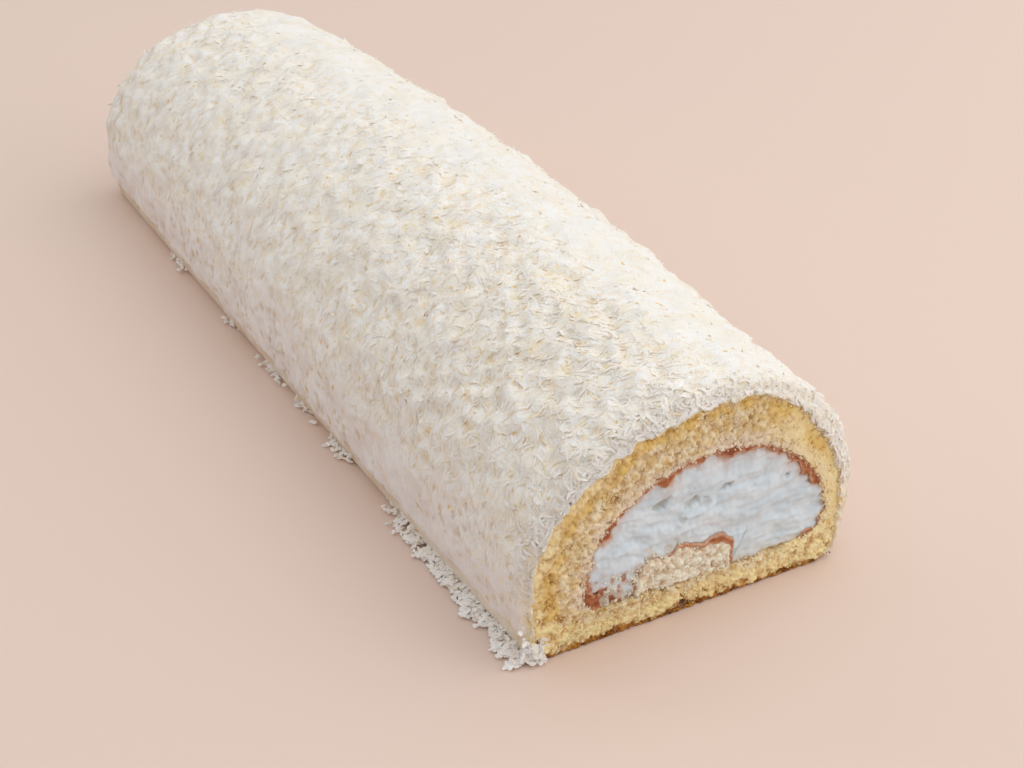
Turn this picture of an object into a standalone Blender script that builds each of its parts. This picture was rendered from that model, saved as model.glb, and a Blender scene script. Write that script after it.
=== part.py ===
"""A coconut roulade: a rolled sponge with a jam lining and a cream filling, iced and rolled in coconut.

The log lies along +Y. Its cut face looks along -Y, its iced far end along +Y, and it stands on z = 0.
Sizes below are in millimetres; the meshes are in metres.
"""

import math
import random
from dataclasses import dataclass, replace

import bmesh
import bpy
from mathutils import Matrix, Vector, noise

MM = 0.001

# The log
LENGTH = 346.0  # from the cut face to the far end of the icing
END_ICING = 7.0  # icing over the far end
END_ROUNDING = 16.0  # radius of the icing where the sides turn into the far end
SPONGE_ROUNDING = 5.5  # the same on the sponge below it
SWELL = 4.0  # how much higher the icing stands halfway along
GAP = 0.3  # between neighbouring pieces
FOOT_EASE = 2.2  # how far the inside of the icing's foot stands out from the sponge's flat base
CREST_X = 8.0  # the roll slumps a little to the right of its base

# Points in one outline, by stretch
BASE_POINTS = 18
TUCK_POINTS = 5
DOME_POINTS = 16

# The seam on the underside, where the sheet of sponge ends
SEAM_X = -2.0
SEAM_WIDTH = 9.0
SEAM_HEIGHT = 2.6

# Jam
JAM = 1.7  # on the lining
JAM_AT_START = 2.2  # more than that, at the lower left
JAM_AT_END = 1.3  # more than that, at the lower right
JAM_MISSING = 0.9  # less than that, down the right side
FOLD_JAM = (0.9, 1.9)  # on the folded-in end of the sheet, at its edges and in its middle

# Relief: how far it stands out, and the sizes of its lumps
CRUMB_RELIEF = 0.45
CRUMB_RIDGES = (5.0, 2.7)
CRUMB_PORES = 4.0
PORE_DEPTH = 2.1
PORE_SHARE = 0.45  # noise above this is a pore
CREAM_RELIEF = 0.5
CREAM_STROKES = 4.0  # height of a knife stroke
CREAM_DIPS = 9.0
ICING_RELIEF = 0.8
ICING_LUMPS = (13.0, 6.0)
SMOOTH_FOOT = (3.0, 15.0)  # heights between which the icing's lumps begin
SMOOTH_RIM = 8.0  # the lumps begin this far from the cut

# Rows of vertices
FACE_ROWS = 6  # of crumb, across the wall of the roll
CREAM_ROWS = 5  # across the face of the cream
FOLD_ROWS = 3
ICING_ROWS = 30  # of lumps, along the straight part of the icing
END_ROWS = 5  # from the far edge to the middle of the far end

# Coconut
COAT_SHREDS = 156
END_SHREDS = 12
SHRED_LENGTH = (7.5, 12.0)
SHRED_WIDTH = (1.1, 1.6)
SHRED_LIFT = (0.9, 2.4)  # of the raised tip
SHRED_DEPTH = 0.25  # of the sunken tip
SHRED_SIDES = 3
SHRED_SEGMENTS = 3
BARE_FOOT = 14.0  # the lowest band of the coat, which has no large shreds
HEAPS = (8.0, 20.0, 33.0, 51.0, 66.0)  # where shreds lie heaped against the left foot
HEAP_SHREDS = 4
HEAP_REACH = (3.5, 7.0)
HEAP_FAN = math.radians(62)
HEAP_SPREAD = 4.0  # to each side along the foot
END_PATCH = (4.0, 25.0, 27.0, 15.0)  # the ellipse of shreds on the far end: middle x and z, then radii
COCONUT_SEED = 11
GOLDEN_SHARE = (math.sqrt(5) - 1) / 2
GOLDEN_TURN = math.pi * (3 - math.sqrt(5))
FAR = Vector((0, 1, 0))


@dataclass(frozen=True)
class Section:
    """A dome with a flat base, seen from the cut end.

    Each side is a quarter of a superellipse over a tucked-in foot.
    """

    left: float  # widest point on each side
    right: float
    crest_x: float
    crest_z: float
    belly_left: float  # heights of the widest points
    belly_right: float
    foot_left: float  # ends of the flat base
    foot_right: float
    floor: float
    fullness: float = 2.0  # 2 is an ellipse, more is squarer

    def grown(self, by):
        """Larger all round, on the same floor."""
        return replace(
            self,
            left=self.left - by,
            right=self.right + by,
            crest_z=self.crest_z + by,
            foot_left=self.foot_left - by,
            foot_right=self.foot_right + by,
        )

    def swollen(self, by):
        """Heaped up, mostly on the top and the right."""
        return replace(
            self,
            left=self.left - 0.3 * by,
            right=self.right + 0.8 * by,
            crest_x=self.crest_x + 0.5 * by,
            crest_z=self.crest_z + by,
        )

    def tuck(self, side, share):
        """A point on the foot, from the base at share 0 to the widest point at share 1."""
        foot = self.foot_right if side > 0 else self.foot_left
        widest = self.right if side > 0 else self.left
        belly = self.belly_right if side > 0 else self.belly_left
        turn = share * math.pi / 2
        return foot + (widest - foot) * math.sin(turn), belly - (belly - self.floor) * math.cos(turn)

    def dome(self, side, share):
        """A point on the dome, from the widest point at share 0 to the crest at share 1."""
        widest = self.right if side > 0 else self.left
        belly = self.belly_right if side > 0 else self.belly_left
        turn = share * math.pi / 2
        power = 2 / self.fullness
        across = math.cos(turn) ** power if share < 1 else 0.0
        return (
            self.crest_x + (widest - self.crest_x) * across,
            belly + (self.crest_z - belly) * math.sin(turn) ** power,
        )

    def over(self):
        """The outline without its base, from the left foot over the crest to the right foot."""
        tucks = [i / TUCK_POINTS for i in range(TUCK_POINTS)]
        domes = [i / DOME_POINTS for i in range(DOME_POINTS)]
        points = [self.tuck(-1, share) for share in tucks]
        points += [self.dome(-1, share) for share in domes]
        points += [self.dome(1, 1 - share) for share in domes]
        points += [self.tuck(1, 1 - share) for share in tucks]
        return points + [self.tuck(1, 0)]

    def outline(self):
        """The closed outline, from the left foot over the crest and back along the base."""
        run = self.foot_left - self.foot_right
        base = [(self.foot_right + run * i / BASE_POINTS, self.floor) for i in range(1, BASE_POINTS)]
        return self.over() + base


ICING = Section(-53.0, 54.2, CREST_X, 65.6, 21.0, 18.5, -48.7, 47.2, 0.5, 2.05)
SPONGE = Section(-49.2, 52.0, CREST_X, 61.4, 20.0, 17.5, -45.0, 42.8, 0.0, 2.02)
CAVITY = Section(-34.0, 45.0, 5.5, 49.0, 17.0, 19.0, -28.0, 37.0, 9.6, 1.95)
FOLD = Section(-18.0, 12.6, -7.0, 20.8, 13.0, 13.5, -16.0, 11.4, CAVITY.floor + GAP, 2.3)
SPONGE_BACK = LENGTH - END_ICING - GAP


def clear_scene():
    for obj in list(bpy.data.objects):
        bpy.data.objects.remove(obj, do_unlink=True)


def food_material(name, colour, roughness):
    material = bpy.data.materials.new(name)
    material.use_nodes = True
    shader = material.node_tree.nodes["Principled BSDF"]
    shader.inputs["Base Color"].default_value = (*colour, 1.0)
    shader.inputs["Roughness"].default_value = roughness
    shader.inputs["Metallic"].default_value = 0.0
    return material


def add_object(name, bm, material):
    """Turns a bmesh in millimetres into an object in metres."""
    bmesh.ops.recalc_face_normals(bm, faces=bm.faces)
    bmesh.ops.scale(bm, vec=Vector((MM, MM, MM)), verts=bm.verts)
    mesh = bpy.data.meshes.new(name)
    bm.to_mesh(mesh)
    bm.free()
    mesh.materials.append(material)
    mesh.shade_smooth()
    mesh.set_sharp_from_angle(angle=math.radians(40))
    obj = bpy.data.objects.new(name, mesh)
    bpy.context.scene.collection.objects.link(obj)
    return obj


def bumps(x, y, z, size):
    """Smooth noise from about -1 to 1, with lumps of the given size."""
    return 1.6 * noise.noise(Vector((x, y, z)) / size)


def crumb(x, z):
    """How far the torn crumb stands out of the cut face: ridges with deeper pores between them."""
    coarse, fine = CRUMB_RIDGES
    ridges = bumps(x, 0.0, z, coarse) + 0.6 * bumps(x, 40.0, z, fine)
    pore = max(0.0, bumps(x, 80.0, z, CRUMB_PORES) - PORE_SHARE)
    return CRUMB_RELIEF * ridges - PORE_DEPTH * pore


def smear(x, z):
    """The knife's drag marks on the cream, four times as long as they are high."""
    return CREAM_RELIEF * (bumps(x / 4, 10.0, z, CREAM_STROKES) + 0.5 * bumps(x, 20.0, z, CREAM_DIPS))


def seam_lift(x):
    """The underside lifts where the end of the sheet overlaps the start of it."""
    return SEAM_HEIGHT * max(0.0, 1.0 - abs(x - SEAM_X) * 2 / SEAM_WIDTH)


def rounded_end(back, rounding, rows):
    """Rings of a log's rounded far edge: how far along each lies, and how much its outline draws in."""
    turns = [i / rows * math.pi / 2 for i in range(rows + 1)]
    return [(back - rounding * (1 - math.sin(turn)), rounding * (1 - math.cos(turn))) for turn in turns]


def add_ring(bm, points, y, relief=None):
    """One ring of vertices at y, pushed out of the cut face by relief(x, z)."""
    return [bm.verts.new((x, y - (relief(x, z) if relief else 0.0), z)) for x, z in points]


def bridge(bm, first, second, closed=True):
    """Quads between two rings with the same number of points."""
    count = len(first)
    for i in range(count if closed else count - 1):
        j = (i + 1) % count
        bm.faces.new((first[i], first[j], second[j], second[i]))


def blend_points(first, second, share):
    return [
        (a[0] + (b[0] - a[0]) * share, a[1] + (b[1] - a[1]) * share)
        for a, b in zip(first, second)
    ]


def offset_points(points, distances):
    """Each point of a closed clockwise outline moved outwards along its normal."""
    moved = []
    for i, (x, z) in enumerate(points):
        before, after = points[i - 1], points[(i + 1) % len(points)]
        along = Vector((after[0] - before[0], after[1] - before[1])).normalized()
        moved.append((x - along.y * distances[i], z + along.x * distances[i]))
    return moved


def bump(share, middle, reach):
    """A smooth hump of height 1 round the middle."""
    return math.exp(-(((share - middle) / reach) ** 2))


def jam_thickness(share):
    """Along the lining, from lower left over the top to lower right: a heavy start, and thin down the right."""
    extra = JAM_AT_START * bump(share, 0.07, 0.05) + JAM_AT_END * bump(share, 0.93, 0.04)
    uneven = 0.35 * bumps(share * 90, 3.0, 7.0, 4.0)
    ends = min(1.0, 0.25 + share / 0.05, 0.25 + (1 - share) / 0.05)
    return ends * (JAM + extra - JAM_MISSING * bump(share, 0.82, 0.06) + uneven)


def filled_prism(name, points, material, relief, rings):
    """A solid from the cut face to the far end, whose front face is rows of vertices around its middle."""
    bm = bmesh.new()
    middle_x = sum(p[0] for p in points) / len(points)
    middle_z = sum(p[1] for p in points) / len(points)
    middle = [(middle_x, middle_z)] * len(points)
    back_ring = add_ring(bm, points, SPONGE_BACK)
    front = [add_ring(bm, blend_points(points, middle, i / rings), 0.0, relief) for i in range(rings)]
    bridge(bm, back_ring, front[0])
    for outer, inner in zip(front, front[1:]):
        bridge(bm, outer, inner)
    tip = bm.verts.new((middle_x, -relief(middle_x, middle_z), middle_z))
    for i, vertex in enumerate(front[-1]):
        bm.faces.new((vertex, front[-1][(i + 1) % len(points)], tip))
    bm.faces.new(back_ring)
    return add_object(name, bm, material)


def jam_lining_outlines():
    """The lining's outer and inner edges, as stretches of the cavity's outline."""
    over = CAVITY.over()
    shares = [i / (len(over) - 1) for i in range(len(over))]
    closed = CAVITY.outline()
    inward = [jam_thickness(share) + GAP for share in shares] + [GAP] * (len(closed) - len(over))
    outer = offset_points(closed, [-GAP] * len(closed))
    inner = offset_points(closed, [-d for d in inward])
    cream = offset_points(closed, [-(d + GAP) for d in inward])
    return outer[: len(over)], inner[: len(over)], cream


def sponge_outline(draw_in=0.0):
    """The outside of the roll, with its seam."""
    return [(x, z + (seam_lift(x) if z == SPONGE.floor else 0.0)) for x, z in SPONGE.grown(-draw_in).outline()]


def make_sponge(material):
    """The wall of the roll: a tube whose cut face is torn crumb."""
    outer = sponge_outline()
    inner = CAVITY.outline()
    bm = bmesh.new()
    far_edge = rounded_end(SPONGE_BACK, SPONGE_ROUNDING, 3)
    rings = [add_ring(bm, sponge_outline(draw_in), y) for y, draw_in in reversed(far_edge)]
    rings.append(add_ring(bm, outer, 0.0))
    for i in range(1, FACE_ROWS):
        rings.append(add_ring(bm, blend_points(outer, inner, i / FACE_ROWS), 0.0, crumb))
    rings += [add_ring(bm, inner, 0.0), add_ring(bm, inner, SPONGE_BACK)]
    for i, ring in enumerate(rings):
        bridge(bm, ring, rings[(i + 1) % len(rings)])
    return add_object("sponge_roll", bm, material)


def make_jam_band(name, outer, inner, material):
    """A ribbon between two edges, from the cut face to the far end."""
    edge = outer + inner[::-1]
    bm = bmesh.new()
    front = add_ring(bm, edge, 0.0)
    back = add_ring(bm, edge, SPONGE_BACK)
    bridge(bm, front, back)
    half = len(outer)
    for ring in (front, back):
        bridge(bm, ring[:half], ring[half:][::-1], closed=False)
    return add_object(name, bm, material)


def fold_jam_outlines():
    """Jam over the top and right of the folded-in end of the sheet, and the room both take in the cream."""
    closed = FOLD.outline()
    start, end = TUCK_POINTS + 6, len(FOLD.over()) - 3
    swell = [math.sin(math.pi * (i - start) / (end - start)) for i in range(len(closed))]
    thick = [FOLD_JAM[0] + (FOLD_JAM[1] - FOLD_JAM[0]) * s for s in swell]
    low = offset_points(closed, [GAP] * len(closed))
    high = offset_points(closed, [GAP + t for t in thick])
    reach = [2 * GAP + thick[i] if start - 1 <= i <= end else GAP for i in range(len(closed))]
    return low[start:end], high[start:end], offset_points(closed, reach)


def cut_with(obj, cutter):
    """Takes the cutter out of obj for good."""
    modifier = obj.modifiers.new("Cut", "BOOLEAN")
    modifier.operation = "DIFFERENCE"
    modifier.object = cutter
    apply_modifiers(obj)
    bpy.data.objects.remove(cutter, do_unlink=True)


def apply_modifiers(obj):
    graph = bpy.context.evaluated_depsgraph_get()
    made = bpy.data.meshes.new_from_object(obj.evaluated_get(graph))
    obj.modifiers.clear()
    old = obj.data
    obj.data = made
    bpy.data.meshes.remove(old)
    made.name = obj.name


def make_cream(outline, fold_room, material):
    """The cream fills the lining and laps over the folded-in end of the sheet."""
    lowest = CAVITY.floor + GAP
    raised = [(x, max(z, lowest)) for x, z in outline]
    cream = filled_prism("cream_filling", raised, material, smear, CREAM_ROWS)
    past = CAVITY.floor / 2
    deep = [(x, z - past if z < FOLD.floor + GAP else z) for x, z in fold_room]
    bm = bmesh.new()
    front = add_ring(bm, deep, -past)
    back = add_ring(bm, deep, LENGTH)
    bridge(bm, front, back)
    bm.faces.new(front)
    bm.faces.new(back)
    cut_with(cream, add_object("fold_room", bm, material))
    return cream


def swell(y):
    """How much the icing is heaped up at y."""
    return SWELL * math.sin(math.pi * y / LENGTH)


def radial(x, z):
    """The direction away from the heart of the roll."""
    return Vector((x - CREST_X, 0.0, z - ICING.belly_left)).normalized()


def icing_point(x, y, z, outward):
    """A point of the icing's skin, pushed out by lumps of matted coconut, except at the foot and the cut."""
    low, high = SMOOTH_FOOT
    rise = min(1.0, max(0.0, (z - low) / (high - low))) * min(1.0, y / SMOOTH_RIM)
    coarse, fine = ICING_LUMPS
    lump = bumps(x, y, z, coarse) + 0.6 * bumps(x, y + 300.0, z, fine)
    return Vector((x, y, z)) + outward * (ICING_RELIEF * rise * lump)


def scaled_over(section, scale):
    """The section's outline without its base, scaled about the middle of its base."""
    middle = (section.foot_left + section.foot_right) / 2
    return [
        (middle + (x - middle) * scale, section.floor + (z - section.floor) * scale)
        for x, z in section.over()
    ]


def icing_outside(bm):
    """Rings of the icing's lumpy outside, along the log, round its far edge and in over its far end."""
    straight = LENGTH - END_ROUNDING
    path = [(straight * i / ICING_ROWS, 0.0) for i in range(ICING_ROWS)]
    path += rounded_end(LENGTH, END_ROUNDING, 4)
    rings = []
    for y, draw_in in path:
        section = ICING.swollen(swell(y)).grown(-draw_in)
        rings.append([bm.verts.new(icing_point(x, y, z, radial(x, z))) for x, z in section.over()])
    end = ICING.grown(-END_ROUNDING)
    for i in range(1, END_ROWS):
        points = scaled_over(end, 1 - i / END_ROWS)
        rings.append([bm.verts.new(icing_point(x, LENGTH, z, FAR)) for x, z in points])
    tip = bm.verts.new(((end.foot_left + end.foot_right) / 2, LENGTH, ICING.floor))
    return rings, tip


def icing_inside(bm):
    """Rings of the icing's smooth inside, one gap clear of the sponge."""
    room = replace(
        SPONGE.grown(GAP),
        floor=ICING.floor,
        foot_left=SPONGE.foot_left - FOOT_EASE,
        foot_right=SPONGE.foot_right + FOOT_EASE,
    )
    back = SPONGE_BACK + GAP
    path = [(0.0, 0.0), (back / 2, 0.0)] + rounded_end(back, SPONGE_ROUNDING + GAP, 3)
    rings = [add_ring(bm, room.grown(-draw_in).over(), y) for y, draw_in in path]
    end = room.grown(-SPONGE_ROUNDING - GAP)
    rings += [add_ring(bm, scaled_over(end, scale), back) for scale in (0.66, 0.33)]
    tip = bm.verts.new(((end.foot_left + end.foot_right) / 2, back, ICING.floor))
    return rings, tip


def make_icing(material):
    """A skin of icing over the sides, the top and the far end, open below and at the cut."""
    bm = bmesh.new()
    outer, outer_tip = icing_outside(bm)
    inner, inner_tip = icing_inside(bm)
    for rings, tip in ((outer, outer_tip), (inner, inner_tip)):
        for first, second in zip(rings, rings[1:]):
            bridge(bm, first, second, closed=False)
        for first, second in zip(rings[-1], rings[-1][1:]):
            bm.faces.new((first, second, tip))
    bridge(bm, outer[0], inner[0], closed=False)
    for foot in (0, -1):
        outside = [ring[foot] for ring in outer] + [outer_tip]
        inside = [ring[foot] for ring in inner] + [inner_tip]
        bmesh.ops.triangulate(bm, faces=[bm.faces.new(outside + inside[::-1])])
    return add_object("coconut_icing", bm, material)


def make_shred(spine, outward, width, bm):
    """A shred of coconut: a flat strip with a three-sided section along its spine, narrower at its tips."""
    rings = []
    last = len(spine) - 1
    for i, place in enumerate(spine):
        along = (spine[min(i + 1, last)] - spine[max(i - 1, 0)]).normalized()
        across = along.cross(outward).normalized()
        up = across.cross(along)
        taper = 1.0 - 0.45 * abs(2 * i / last - 0.8)
        ring = []
        for k in range(SHRED_SIDES):
            turn = 2 * math.pi * k / SHRED_SIDES + math.pi / 2
            reach = across * (math.cos(turn) * width * 0.58) + up * (math.sin(turn) * width * 0.42)
            ring.append(bm.verts.new(place + reach * taper))
        rings.append(ring)
    for first, second in zip(rings, rings[1:]):
        bridge(bm, first, second)
    bm.faces.new(rings[0])
    bm.faces.new(rings[-1])


def shred_object(spine, outward, material, rng, collection):
    bm = bmesh.new()
    make_shred(spine, outward, rng.uniform(*SHRED_WIDTH), bm)
    shred = add_object("shred", bm, material)
    bpy.context.scene.collection.objects.unlink(shred)
    collection.objects.link(shred)


class Coat:
    """The icing's outline at y, measured by distance along it from the left foot."""

    def __init__(self, y):
        self.y = y
        self.points = [Vector((x, 0.0, z)) for x, z in ICING.swollen(swell(y)).over()]
        self.stops = [0.0]
        for first, second in zip(self.points, self.points[1:]):
            self.stops.append(self.stops[-1] + (second - first).length)

    def place(self, along):
        """The point on the lumpy skin there, and the direction out of the icing."""
        index = next(i for i, stop in enumerate(self.stops[1:]) if stop >= along)
        first, second = self.points[index], self.points[index + 1]
        point = first.lerp(second, (along - self.stops[index]) / (self.stops[index + 1] - self.stops[index]))
        step = (second - first).normalized()
        outward = Vector((-step.z, 0.0, step.x))
        return icing_point(point.x, self.y, point.z, radial(point.x, point.z)), outward


def coat_shreds(material, collection):
    """Large shreds spread evenly over the coat, each half sunk, with one tip lifted."""
    rng = random.Random(COCONUT_SEED)
    run = LENGTH - END_ROUNDING - SHRED_LENGTH[1]
    girth = Coat(0).stops[-1] - 2 * BARE_FOOT
    for i in range(COAT_SHREDS):
        y = SHRED_LENGTH[1] / 2 + run * (i + 0.5) / COAT_SHREDS
        along = BARE_FOOT + girth * ((i * GOLDEN_SHARE) % 1.0)
        length = rng.uniform(*SHRED_LENGTH)
        heading = rng.uniform(0, math.tau)
        bend = rng.uniform(-0.9, 0.9)
        lift = rng.uniform(*SHRED_LIFT)
        spine = []
        for k in range(SHRED_SEGMENTS + 1):
            part = k / SHRED_SEGMENTS
            turn = heading + bend * part
            reach = length * (part - 0.5)
            skin, outward = Coat(y + reach * math.cos(turn)).place(along + reach * math.sin(turn))
            spine.append(skin + outward * (lift * part * part - SHRED_DEPTH))
        shred_object(spine, outward, material, rng, collection)


def end_shreds(material, collection):
    """Shreds on the far end, spread in a spiral from its middle."""
    rng = random.Random(COCONUT_SEED + 1)
    middle_x, middle_z, radius_x, radius_z = END_PATCH
    for i in range(END_SHREDS):
        share = math.sqrt((i + 0.5) / END_SHREDS)
        x = middle_x + radius_x * share * math.cos(i * GOLDEN_TURN)
        z = middle_z + radius_z * share * math.sin(i * GOLDEN_TURN)
        heading = rng.uniform(0, math.tau)
        length = rng.uniform(*SHRED_LENGTH)
        lift = rng.uniform(*SHRED_LIFT)
        spine = []
        for k in range(SHRED_SEGMENTS + 1):
            part = k / SHRED_SEGMENTS
            reach = length * (part - 0.5)
            skin = icing_point(x + reach * math.cos(heading), LENGTH, z + reach * math.sin(heading), FAR)
            spine.append(skin + FAR * (lift * part * part - SHRED_DEPTH))
        shred_object(spine, FAR, material, rng, collection)


def heap_shreds(material, collection):
    """Shreds heaped against the left foot near the cut, each with its inner end in the icing."""
    rng = random.Random(COCONUT_SEED + 2)
    for heap in HEAPS:
        for i in range(HEAP_SHREDS):
            fan = rng.uniform(-HEAP_FAN, HEAP_FAN)
            length = rng.uniform(*HEAP_REACH)
            y = heap + rng.uniform(-HEAP_SPREAD, HEAP_SPREAD)
            inner = Vector((ICING.foot_left + 0.7, y, rng.uniform(1.9, 4.6)))
            outer = inner + Vector((-math.cos(fan) * length, math.sin(fan) * length, 0.0))
            outer.z = rng.uniform(1.4, 3.2)
            middle = inner.lerp(outer, 0.55) + Vector((0.0, rng.uniform(-1, 1), rng.uniform(0.2, 1.2)))
            spine = [inner, inner.lerp(middle, 0.5), middle, outer]
            shred_object(spine, Vector((0, 0, 1)), material, rng, collection)


def fuse(obj, collection):
    """Joins a collection's pieces to obj in one union, drops any scrap, and removes the pieces."""
    modifier = obj.modifiers.new("Fuse", "BOOLEAN")
    modifier.operation = "UNION"
    modifier.operand_type = "COLLECTION"
    modifier.collection = collection
    modifier.solver = "EXACT"
    apply_modifiers(obj)
    for piece in list(collection.objects):
        bpy.data.objects.remove(piece, do_unlink=True)
    bpy.data.collections.remove(collection)
    keep_largest(obj)


def keep_largest(obj):
    """Drops all but the body with the most vertices."""
    bm = bmesh.new()
    bm.from_mesh(obj.data)
    unseen = set(bm.verts)
    shells = []
    while unseen:
        shell = {unseen.pop()}
        edge = list(shell)
        while edge:
            near = {e.other_vert(v) for v in edge for e in v.link_edges} - shell
            shell |= near
            edge = list(near)
        unseen -= shell
        shells.append(shell)
    largest = max(shells, key=len)
    scraps = [v for shell in shells if shell is not largest for v in shell]
    bmesh.ops.delete(bm, geom=scraps, context="VERTS")
    bm.to_mesh(obj.data)
    bm.free()


def centre_on_base(objects):
    """Moves the whole cake so that the origin is the middle of its footprint."""
    corners = [vertex.co for obj in objects for vertex in obj.data.vertices]
    middle_x = (min(c.x for c in corners) + max(c.x for c in corners)) / 2
    middle_y = (min(c.y for c in corners) + max(c.y for c in corners)) / 2
    shift = Matrix.Translation((-middle_x, -middle_y, 0.0))
    for obj in objects:
        obj.data.transform(shift)


def main():
    clear_scene()
    sponge = food_material("sponge", (0.79, 0.62, 0.32), 0.9)
    soaked_sponge = food_material("soaked_sponge", (0.73, 0.64, 0.47), 0.85)
    cream = food_material("cream", (0.72, 0.75, 0.79), 0.5)
    jam = food_material("jam", (0.38, 0.10, 0.045), 0.35)
    coconut = food_material("coconut", (0.89, 0.85, 0.77), 0.85)

    lining_outer, lining_inner, cream_outline = jam_lining_outlines()
    fold_low, fold_high, fold_room = fold_jam_outlines()
    icing = make_icing(coconut)
    shreds = bpy.data.collections.new("shreds")
    bpy.context.scene.collection.children.link(shreds)
    coat_shreds(coconut, shreds)
    end_shreds(coconut, shreds)
    heap_shreds(coconut, shreds)
    fuse(icing, shreds)
    cake = [
        icing,
        make_sponge(sponge),
        make_cream(cream_outline, fold_room, cream),
        filled_prism("sponge_fold", FOLD.outline(), soaked_sponge, crumb, FOLD_ROWS),
        make_jam_band("jam_lining", lining_outer, lining_inner, jam),
        make_jam_band("jam_on_fold", fold_low, fold_high, jam),
    ]
    centre_on_base(cake)


main()
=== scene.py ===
import itertools
import math

import bmesh
import bpy
import numpy as np
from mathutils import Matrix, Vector, noise


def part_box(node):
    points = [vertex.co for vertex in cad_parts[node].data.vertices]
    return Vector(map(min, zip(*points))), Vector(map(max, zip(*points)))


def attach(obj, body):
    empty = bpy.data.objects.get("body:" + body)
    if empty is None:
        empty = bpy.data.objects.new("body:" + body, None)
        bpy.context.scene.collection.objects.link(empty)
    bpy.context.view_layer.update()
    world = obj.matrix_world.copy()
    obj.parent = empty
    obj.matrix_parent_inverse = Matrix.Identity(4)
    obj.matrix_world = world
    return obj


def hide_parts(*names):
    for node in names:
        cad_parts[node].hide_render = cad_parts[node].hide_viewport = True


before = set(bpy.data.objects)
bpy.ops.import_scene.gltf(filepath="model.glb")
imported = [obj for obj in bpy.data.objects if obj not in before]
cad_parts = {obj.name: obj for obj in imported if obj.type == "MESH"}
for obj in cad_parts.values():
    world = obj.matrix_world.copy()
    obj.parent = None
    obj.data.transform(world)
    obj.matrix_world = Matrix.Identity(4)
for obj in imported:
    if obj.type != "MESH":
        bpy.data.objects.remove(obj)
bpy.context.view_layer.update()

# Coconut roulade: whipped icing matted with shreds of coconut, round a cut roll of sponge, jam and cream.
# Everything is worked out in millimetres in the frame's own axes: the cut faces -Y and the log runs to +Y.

mm = 0.001


def boxOf(node):
    low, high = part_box(node)
    return np.array(low) / mm, np.array(high) / mm


spongeLow, spongeHigh = boxOf("sponge_roll")
icingFloor = boxOf("coconut_icing")[0][2]
liningLow, liningHigh = boxOf("jam_lining")
foldLow, foldHigh = boxOf("sponge_fold")
gap = 0.3  # that the solids keep between them
cutY = liningLow[1]  # the plane of the cut
backY = spongeHigh[1]
farIcing = 7.3  # from the end of the sponge to the end of the icing
farRounding = 12.0
logLength = backY + farIcing - cutY


def toLinear(hexColour):
    channels = [int(hexColour[i:i + 2], 16) / 255 for i in (1, 3, 5)]
    return [c / 12.92 if c <= 0.04045 else ((c + 0.055) / 1.055) ** 2.4 for c in channels] + [1.0]


def featureScale(sizeMm):  # noise scale that gives features of this size
    return 1 / (sizeMm * mm)


def addNode(tree, kind, inputs=(), stops=None, **settings):
    node = tree.nodes.new(kind)
    for name, value in settings.items():
        setattr(node, name, value)
    if stops:
        ramp = node.color_ramp
        while len(ramp.elements) < len(stops):
            ramp.elements.new(0.5)
        for element, (place, colour) in zip(ramp.elements, stops):
            element.position = place
            element.color = toLinear(colour)
    for name, value in dict(inputs).items():
        if isinstance(value, bpy.types.NodeSocket):
            tree.links.new(value, node.inputs[name])
        else:
            node.inputs[name].default_value = value
    return node


def newMaterial(name):
    material = bpy.data.materials.new(name)
    material.use_nodes = True
    tree = material.node_tree
    tree.nodes.clear()
    shader = addNode(tree, "ShaderNodeBsdfPrincipled")
    addNode(tree, "ShaderNodeOutputMaterial", {"Surface": shader.outputs[0]})
    place = addNode(tree, "ShaderNodeTexCoord").outputs["Object"]
    return material, tree, shader, place


def smoothStep(low, high, values):
    t = np.clip((values - low) / (high - low), 0, 1)
    return t * t * (3 - 2 * t)


def bell(values, middle, width):
    return np.exp(-((values - middle) / width) ** 2)


def fromLeast(least, share):
    return least + (1 - least) * share


def unit(vectors):
    return vectors / np.maximum(np.linalg.norm(vectors, axis=-1, keepdims=True), 1e-9)


def latticeHash(cells, seed):  # a fixed random number from 0 to 1 for each lattice cell
    n = np.full(cells.shape[:-1], seed * 668265263 + 374761393, np.int64)
    for axis, prime in zip(range(cells.shape[-1]), (73856093, 19349663, 83492791)):
        n = (n ^ (cells[..., axis] * prime)) & 0x7FFFFFFF
        n = (n * 1103515245 + 12345) & 0x7FFFFFFF
        n = n ^ (n >> 15)
    return (n & 0xFFFFF) / 0xFFFFF


def smoothNoise(points, size, seed):  # -1 to 1, with lumps of this size
    scaled = points / size
    cells = np.floor(scaled).astype(np.int64)
    part = scaled - cells
    part = part * part * (3 - 2 * part)
    total = np.zeros(points.shape[:-1])
    for corner in itertools.product((0, 1), repeat=points.shape[-1]):
        weight = np.prod(np.where(corner, part, 1 - part), axis=-1)
        total += weight * latticeHash(cells + np.array(corner), seed)
    return total * 2 - 1


def unevenness(points, layers, *seeds):  # noise in several sizes, given as pairs of size and height
    return sum(height * smoothNoise(points, size, seed) for (size, height), seed in zip(layers, seeds))


def spotsNear(points, size, seed):
    # one random spot in every lattice cell around: the cell, and how far away its spot is
    scaled = points / size
    cells = np.floor(scaled).astype(np.int64)
    for step in itertools.product((-1, 0, 1), repeat=points.shape[-1]):
        cell = cells + np.array(step)
        spot = np.stack([latticeHash(cell, seed + k) for k in range(points.shape[-1])], -1) + cell
        yield cell, np.linalg.norm(spot - scaled, axis=-1)


def grains(points, size, seed):  # 1 in the middle of each grain, falling to 0 between grains
    nearest = np.full(points.shape[:-1], 9.0)
    for _, distance in spotsNear(points, size, seed):
        nearest = np.minimum(nearest, distance)
    return 1 - np.clip(nearest, 0, 1)


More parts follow.
